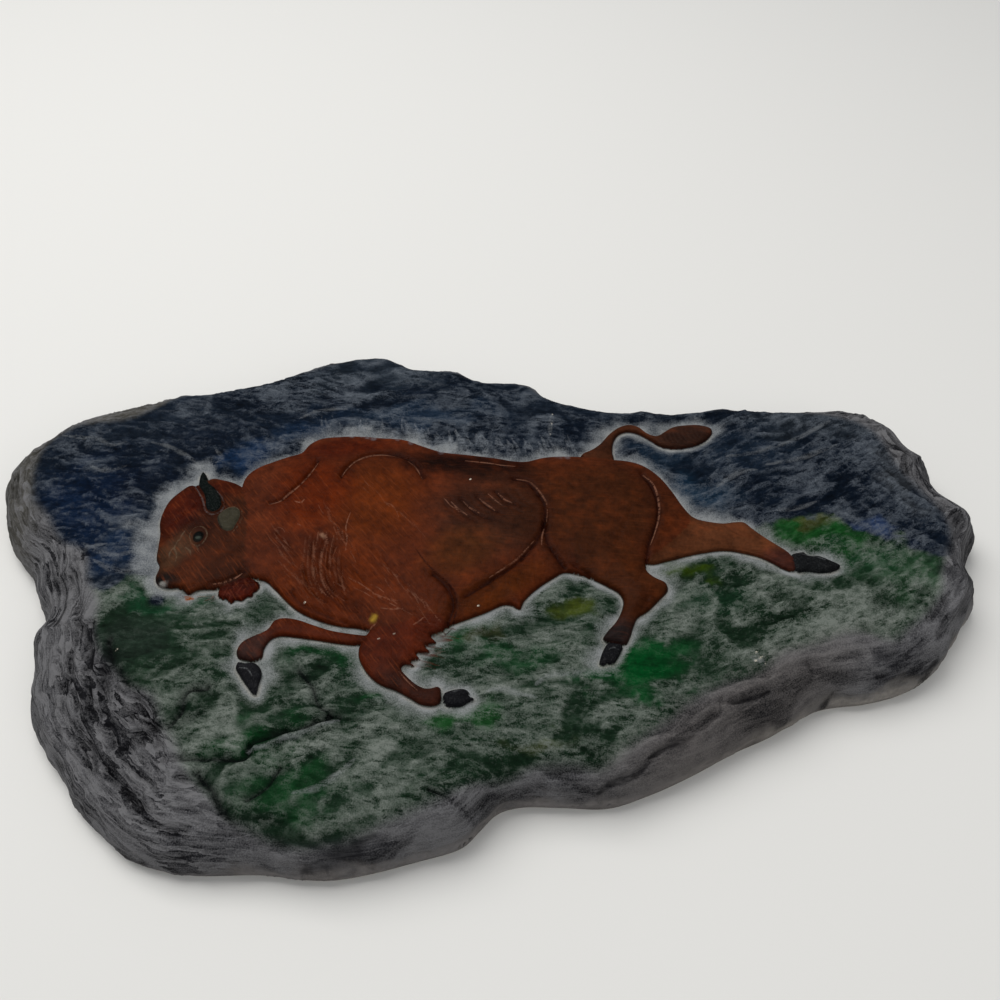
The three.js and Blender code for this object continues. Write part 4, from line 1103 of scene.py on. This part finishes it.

# The bison: a colour for each part, patches on the hide, mottling, painted shade in folds and edges.
for index, part in enumerate(bison.values()):
    paint = np.where((at["owner"] == index)[:, None], tone(part["colour"]), paint)
bald = [i for i, name in enumerate(bison) if "oof" in name or name in ("horn", "ear")]
isHide = (at["owner"] >= 0) & ~np.isin(at["owner"], bald)
paint = layPatches(paint, bisonPatches, points + wander["hide"] * bend, isHide)
mottle = sum(strength * streaks(turned(points, (0, 0), turn), size, seed)
             for strength, size, turn, seed in hide["mottle"])
paint = lay(paint, "rust", hide["rust"] * mottle * isHide)
paint *= (1 + mottle * isHide)[:, None]
# Painted shade: the hide darker in its cuts, along the contours of its parts and beside its folds.
cut, contour, shadeBesideFolds = hide["cut"], hide["contour"], hide["shadeBesideFolds"]
paintedShade = cut[0] * ease(at["groove"] / cut[1]) + contour[0] * (1 - ease(at["edge"] / contour[1]))
paintedShade = np.maximum(paintedShade, shadeBesideFolds[0] * bell(at["foldGap"] / shadeBesideFolds[1]))
paint = lay(paint, "foldShade", paintedShade * isHide)
paint = lay(paint, "pupil", 1 - ramp(eyeGap(points), *hide["pupil"]))
# A painted highlight on the pupil.
paint = lay(paint, "paintedGlint", patchMask(points, *eyeGlint))

# Grey sprayed along the bison's contour, wider before the face and feathery above the back.
fore = beforeFace(points)
strength, turn, size, seed = spray["feathers"]
feather = ease(0.5 + strength * streaks(turned(points, (0, 0), turn), size, seed, 2))
feather *= fromZone(up, "overBack") * fromZone(across, "backFrom") * fromZone(across, "backTo")
besideFace = bell((up - spray["face"][0]) / spray["face"][1]) * fore
haloWidth = spray["width"] + spray["beforeFace"] * fore + spray["besideFace"] * besideFace
haloWidth = (haloWidth + spray["feather"] * feather) * patchy(*spray["unevenWidth"])
spread = np.clip((at["outside"] - spray["start"]) / haloWidth, 0, 1) ** (1 + spray["flatter"] * fore)
halo = (1 - ease(spread)) ** spray["falloff"] * (spray["strength"] - spray["faceLess"] * fore)
halo *= patchy(*spray["unevenStrength"])

# Grey brushed over the ground: on its ridges, and more or less of it in patches.
strength, size, seed = brushing["clouds"]
grey = at["grey"] + strength * streaks(points, size, seed, 2)
grey = grey + sum(patchMask(wavering, *patch) for patch in hazePatches)
grey -= brushing["weatheredLess"] * np.clip(weathered, 0, 1) * at["bare"]
green = [patchMask(wavering, *patch, strength) for *patch, _, strength in grassPatches]
grey -= brushing["greenLess"] * np.max(green, axis=0) * isGrass
dry = grey + brushing["level"]
dry = dry + brushing["onShape"] * at["shape"] + brushing["onRidge"] * at["ridge"]
dry = np.maximum(halo, np.clip(dry, 0, brushing["most"]))
mauve = patchMask(points, *mauvePatch)
brush = lay(coat("skyGrey"), "grassGrey", isGrass)
brush = lay(brush, "rockGrey", at["bare"])
brush = lay(brush, "mauve", mauve)
brush = lay(brush, "haze", halo)
gaps, size, seed = spray["lineGaps"]
line = spray["line"] * (1 - ramp(at["outside"], *spray["lineReach"]))
brush = lay(brush, "line", line * ease(gaps + streaks(points, size, seed)))

# The smooth side below the picture, greyer and lighter towards the wall.
under = ramp(at["facing"], *side["facing"])
rightwards = fromZone(across, "smoothSide")
blotches = streaks(np.stack([at["rimRun"], depth], axis=1), *side["blotches"])
start, run = side["upper"]
upper = rightwards * (1 - ease((depth - start - side["uneven"] * blotches) / run))
foot = side["footStrength"] - side["footStrength"] * ramp(depth, *side["foot"])
low = side["strength"] * under * np.maximum(upper, foot)
sideTone = lay(coat("side"), "sideRight", fromZone(across, "lightSide"))
sideTone = lay(sideTone, "rock", side["blotchStrength"] * ease(blotches - side["blotchFrom"]))
paint = blend(paint, sideTone, low)
paint = lay(paint, "base", side["base"] * low * (1 - ease(depth / side["baseReach"])))
dry *= 1 - side["greyLess"] * low

# Painted shade in the cracks of the ground and beside them.
strength, reach = crackShade["beside"]
crackShadeMask = np.maximum(ramp(at["groove"], *crackShade["from"]), strength * bell(at["foldGap"] / reach))
crackShadeMask *= ramp(at["outside"], *crackShade["outside"]) * isGround * (1 - low)
crackShadeMask *= 1 - crackShade["rockLess"] * at["bare"]
paint = lay(paint, "crackShade", crackShade["strength"] * crackShadeMask)
dry *= (1 - crackShade["strength"] * crackShadeMask) * isGround

# Single strokes of paint: at each point the nearest one, its colour and its strength.
lineGap = np.full(len(points), brushLine["farthest"])
lineStrength, lineColour = np.zeros(len(points)), coat("worn")
for name, width, strength, line in strokesOfPaint:
    rows = near(points, line, brushLine["margin"])
    gap, run, _ = nearest(points[rows], line, closed=False)
    length = np.linalg.norm(np.diff(line, axis=0), axis=1).sum()
    if name == "tuft":
        swell = brushLine["tuft"][0] + brushLine["tuft"][1] * run / length
    else:
        swell = brushLine["other"][0] + brushLine["other"][1] * np.sin(math.pi * run / length)
    reach = gap / width / (swell if length > brushLine["short"] else 1)
    closer = rows[reach < lineGap[rows]]
    lineGap[rows] = np.minimum(lineGap[rows], reach)
    lineColour[closer] = tone(name)
    lineStrength[closer] = strength

# What the material reads: where the wisps turn, how wild they are, the run of the rock's strands.
falling = fromZone(across, "fallFrom") * fromZone(up, "fallBelow") * isHide
rising = fromZone(across, "riseFrom") * ~isHide
wild = isGround * (1 - low) * ease(at["outside"] / haloWidth) * (1 - brushing["mauveCalm"] * mauve)
wild *= 1 - side["wildLess"] * under * rightwards * at["bare"]
fields = {
    "dry": dry, "satin": isHide * 1.0, "rising": rising, "falling": falling, "wild": wild,
    "bare": at["bare"], "lineGap": lineGap, "lineStrength": lineStrength,
}


def store(name, kind, key, values):
    layer = plaque.data.attributes.new(name, kind, "POINT")
    layer.data.foreach_set(key, values.astype(np.float32).ravel())


for name, values in fields.items():
    store(name, "FLOAT", "value", values)
down = at["strata"][:, 1] - slab["depth"] + depth
flow = np.stack([at["strata"][:, 0], down, np.zeros(len(points))], axis=1) * mm
store("strata", "FLOAT_VECTOR", "vector", flow)
for name, colours in {"paint": paint, "brush": brush, "lineColour": lineColour}.items():
    rgba = np.concatenate([np.clip(colours, 0, 1), np.ones((len(colours), 1))], axis=1)
    store(name, "FLOAT_COLOR", "color", rgba)
print("paint laid on")


class Shade:
    # A shader socket that can be added, multiplied and so on like a number.
    def __init__(self, tree, socket):
        self.tree = tree
        self.socket = socket

    def calculate(self, operation, *values, clamp=False):
        settings = {"operation": operation, "use_clamp": clamp}
        return node(self.tree, "ShaderNodeMath", settings, dict(enumerate(values)))

    def __add__(self, other):
        return self.calculate("ADD", self, other)

    def __sub__(self, other):
        return self.calculate("SUBTRACT", self, other)

    def __rsub__(self, other):
        return self.calculate("SUBTRACT", other, self)

    def __mul__(self, other):
        return self.calculate("MULTIPLY", self, other)

    __radd__ = __add__
    __rmul__ = __mul__

    def clamped(self):
        return self.calculate("ADD", self, 0, clamp=True)


def node(tree, kind, settings, inputs, output=0):
    made = tree.nodes.new(kind)
    for name, value in settings.items():
        setattr(made, name, value)
    for name, value in inputs.items():
        if isinstance(value, Shade):
            tree.links.new(value.socket, made.inputs[name])
        else:
            made.inputs[name].default_value = value
    return Shade(tree, made.outputs[output]) if made.outputs else made


def startMaterial(name):
    material = bpy.data.materials.new(name)
    material.use_nodes = True
    material.node_tree.nodes.clear()
    return material, material.node_tree


def mixColours(tree, mask, under, over, kind="MIX"):
    settings = {"data_type": "RGBA", "blend_type": kind, "clamp_factor": True}
    return node(tree, "ShaderNodeMix", settings, {0: mask, 6: under, 7: over}, 2)


paintWork = {
    # Length and width in metres of the ground's wisps, the rock's strands, and on the hide of
    # the brush strokes and the hairs.
    "wisp": (0.024, 0.011), "strand": (0.034, 0.0075),
    "stroke": (0.008, 0.0022), "hair": (0.009, 0.0011),
    "turns": (-4, 26, -52),         # their directions: level, rising and falling
    "lump": 24,                     # size of the areas with more wisps, per metre
    "grain": 520, "speckle": 1400, "leather": 150, "plasterSize": 60,    # sizes, per metre
    "puffs": 2.2, "crisp": 0.45, "wisps": 0.55, "fine": 0.4, "lumps": 1.6,    # in the wisps
    "streaky": 0.3, "speckled": 1.4,       # how strokes and speckles break up the grey
    # How much each shades the paint, and how much less or more it does on the hide.
    "strokeShade": (0.8, -0.5), "leatherShade": 1.2, "grainShade": 0.8, "wispShade": 0.4,
    "hairTips": 0.3,
    "roughness": 0.62, "satin": 0.2, "grainRoughness": 0.3, "backRoughness": 0.3,
    # Height of the finest relief in metres, and the share of each kind in it.
    "bump": 0.0006, "strokeHeight": (0.6, -0.3), "grainHeight": 0.8, "speckleHeight": 0.35,
    "hairHeight": 0.6, "leatherHeight": 0.8, "wispHeight": 0.9,
    "plaster": ((178, 168, 150), (222, 214, 198)),    # the bare back
}


def makePaint():
    material, tree = startMaterial("painted plaster")
    place = node(tree, "ShaderNodeTexCoord", {}, {}, "Object")

    def read(name, output="Fac"):
        return node(tree, "ShaderNodeAttribute", {"attribute_name": name}, {}, output)

    def noise3d(at, scale, detail, distortion=0.0):
        return node(tree, "ShaderNodeTexNoise", {},
                    {"Vector": at, "Scale": scale, "Detail": detail, "Distortion": distortion})

    def ridged(at, scale=1.0, detail=3.0, distortion=0.9):
        level = noise3d(at, scale, detail, distortion)
        return 1 - level.calculate("ABSOLUTE", level - 0.5) * 7

    def layered(at, scale=1.0):
        # Soft layers, each with one crisp edge.
        level = noise3d(at, scale, 3.0)
        layer = level.calculate("FRACT", level * 4)
        return layer * layer * 1.2

    def stretched(at, turn, size, swap=False):
        length, width = size
        scale = (length, width, width) if swap else (length, length, width)
        return node(tree, "ShaderNodeMapping", {"vector_type": "TEXTURE"},
                    {"Vector": at, "Rotation": (0, -math.radians(turn), 0), "Scale": scale})

    def everyWay(size):
        return [stretched(place, turn, size) for turn in paintWork["turns"]]

    def joined(ways):
        # One noise in the three directions, each where it belongs.
        across = ways[0] * (1 - rising) + ways[1] * rising
        return across * (1 - falling) + ways[2] * falling

    rising, falling, bare, wild, satin, dry = (
        read(name) for name in ("rising", "falling", "bare", "wild", "satin", "dry"))
    flows = everyWay(paintWork["wisp"])
    clouds = joined([noise3d(at, 1.0, 5.0, 0.4) for at in flows])
    crisp = joined([layered(at, 1.2) for at in flows])
    wisps = joined([ridged(at, 1.6) for at in flows])
    fine = joined([ridged(at, 3.4, 2.0, 0.0) for at in flows])
    strokes = joined([noise3d(at, 1.0, 2.0) for at in everyWay(paintWork["stroke"])])
    hairs = joined([noise3d(at, 1.0, 1.0) for at in everyWay(paintWork["hair"])])
    along = stretched(read("strata", "Vector"), 0, paintWork["strand"], True)
    strands = layered(along) * 0.8 + (ridged(along, 1.7) - 0.55) * 0.5 - 0.4
    lumps = (noise3d(place, paintWork["lump"], 3.0) - 0.5) * paintWork["lumps"]
    grainy = noise3d(place, paintWork["grain"], 3.0) - 0.5
    speckle = noise3d(place, paintWork["speckle"], 1.0) - 0.5
    leather = noise3d(place, paintWork["leather"], 4.0)

    def onHide(name):
        plain, change = paintWork[name]
        return plain + satin * change

    # The net of wisps and strands breaks up the sprayed and brushed grey, and shades the paint.
    puffs = (clouds - 0.5) * paintWork["puffs"]
    soft = puffs + (crisp - 0.4) * paintWork["crisp"]
    soft = soft + (wisps - 0.55) * paintWork["wisps"] + (fine - 0.55) * paintWork["fine"]
    net = (soft * (1 - bare) + strands * bare + lumps) * wild
    loose = dry * (1.25 - dry) * 2 + 0.15
    mask = dry + net * loose * (0.65 + bare * 0.2)
    mask = mask + ((strokes - 0.5) * paintWork["streaky"] + speckle * paintWork["speckled"]) * loose
    shading = 1 + (strokes - 0.5) * onHide("strokeShade") + grainy * paintWork["grainShade"]
    shading = shading + (leather - 0.5) * satin * paintWork["leatherShade"]
    shading = shading + net * paintWork["wispShade"]
    coloured = mixColours(tree, 1.0, read("paint", "Color"), shading, "MULTIPLY")
    tips = ((hairs - 0.55) * 4 * satin * (0.3 + falling * 0.7)).clamped() * paintWork["hairTips"]
    coloured = mixColours(tree, tips, coloured, (*tone("hair"), 1))
    coloured = mixColours(tree, mask.clamped() * (1 - satin), coloured, read("brush", "Color"))
    inLine = (1.5 - read("lineGap") * 1.2).clamped()
    broken = (0.6 + (strokes - 0.5) * 3 + speckle * 2).clamped()
    lineMask = inLine * read("lineStrength") * broken
    coloured = mixColours(tree, lineMask, coloured, read("lineColour", "Color"))

    # The flat back is bare plaster.
    outwards = node(tree, "ShaderNodeNewGeometry", {}, {}, "Normal")
    facing = node(tree, "ShaderNodeSeparateXYZ", {}, {0: outwards}, "Y")
    isBack = ((facing - 0.9) * 20).clamped()
    mottled = noise3d(place, paintWork["plasterSize"], 6.0)
    plaster = node(tree, "ShaderNodeValToRGB", {}, {0: mottled})
    for stop, colour in zip(plaster.socket.node.color_ramp.elements, paintWork["plaster"]):
        stop.color = (*tone(colour), 1)
    coloured = mixColours(tree, isBack, coloured, plaster)

    relief = strokes * onHide("strokeHeight") + grainy * paintWork["grainHeight"]
    relief = relief + speckle * paintWork["speckleHeight"]
    hideRelief = hairs * paintWork["hairHeight"] + leather * paintWork["leatherHeight"]
    relief = relief + hideRelief * satin
    relief = relief + (puffs * (1 - bare) + strands * bare) * wild * paintWork["wispHeight"]
    normal = node(tree, "ShaderNodeBump", {}, {"Height": relief, "Strength": 0.7,
                                               "Distance": paintWork["bump"]})
    roughness = paintWork["roughness"] - satin * paintWork["satin"]
    roughness = roughness + grainy * paintWork["grainRoughness"]
    surface = node(tree, "ShaderNodeBsdfPrincipled", {}, {
        "Base Color": coloured, "Roughness": roughness + isBack * paintWork["backRoughness"],
        "Normal": normal, "Specular IOR Level": 0.02,
    })
    node(tree, "ShaderNodeOutputMaterial", {}, {"Surface": surface})
    return material


plaque.data.materials.append(makePaint())
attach(plaque, "root")
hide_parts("plaque")


def makeWall():
    # A pale wall behind the plaque, open behind it and clear when seen from behind.
    wallForm = {"half": 4000, "behind": -0.4, "openingInset": 3, "colour": (0.71, 0.697, 0.662, 1)}
    form = bmesh.new()
    opening = alongside(rimLine, slab["backInset"] + wallForm["openingInset"], spread=4)[::6]
    half = wallForm["half"]
    for loop in (opening, np.array([(-half, -half), (half, -half), (half, half), (-half, half)])):
        places = placed(loop, np.full(len(loop), wallForm["behind"]))
        corners = [form.verts.new(place) for place in places]
        for start, end in zip(corners, corners[1:] + corners[:1]):
            form.edges.new((start, end))
    bmesh.ops.triangle_fill(form, edges=form.edges, normal=(0, -1, 0), use_beauty=True)
    for face in form.faces:
        face.normal_update()
    bmesh.ops.reverse_faces(form, faces=[face for face in form.faces if face.normal.y > 0])
    area = sum(face.calc_area() for face in form.faces)
    print("wall:", len(form.faces), "faces,", round(area, 2), "square metres")
    wall = finishMesh(form, "wall")
    material, tree = startMaterial("pale wall")
    behind = node(tree, "ShaderNodeNewGeometry", {}, {}, "Backfacing")
    clear = node(tree, "ShaderNodeBsdfTransparent", {}, {})
    pale = node(tree, "ShaderNodeBsdfPrincipled", {}, {
        "Base Color": wallForm["colour"], "Roughness": 0.7, "Specular IOR Level": 0.2})
    surface = node(tree, "ShaderNodeMixShader", {}, {0: behind, 1: pale, 2: clear})
    node(tree, "ShaderNodeOutputMaterial", {}, {"Surface": surface})
    wall.data.materials.append(material)


def makeLights():
    lamps = {
        "key": {"at": (-0.6, -1.8, 0.6), "size": 1.6, "power": 34},
        "fill": {"at": (0.9, -1.2, -1.1), "size": 1.2, "power": 6},
    }
    sky = {"Color": (0.92, 0.95, 1, 1), "Strength": 0.38}
    for name, lamp in lamps.items():
        light = bpy.data.lights.new(name, "AREA")
        light.size = lamp["size"]
        light.energy = lamp["power"]
        holder = bpy.data.objects.new(name, light)
        holder.location = lamp["at"]
        holder.rotation_euler = (-Vector(lamp["at"])).to_track_quat("-Z", "Y").to_euler()
        bpy.context.collection.objects.link(holder)
    world = bpy.data.worlds.new("soft light")
    bpy.context.scene.world = world
    world.use_nodes = True
    for name, value in sky.items():
        world.node_tree.nodes["Background"].inputs[name].default_value = value


def makeCamera():
    view = {"at": (0.013, -0.4808, -0.3564), "towards": (0, 0.7513, 0.66), "lens": 36}
    camera = bpy.data.cameras.new("camera")
    camera.lens = view["lens"]
    camera.sensor_width = 36
    camera.clip_start = 0.01
    holder = bpy.data.objects.new("camera", camera)
    holder.location = view["at"]
    holder.rotation_euler = Vector(view["towards"]).to_track_quat("-Z", "Y").to_euler()
    bpy.context.collection.objects.link(holder)
    bpy.context.scene.camera = holder


makeWall()
makeLights()
makeCamera()
bpy.context.scene.view_settings.view_transform = "Standard"
print("stage, lights and camera set")
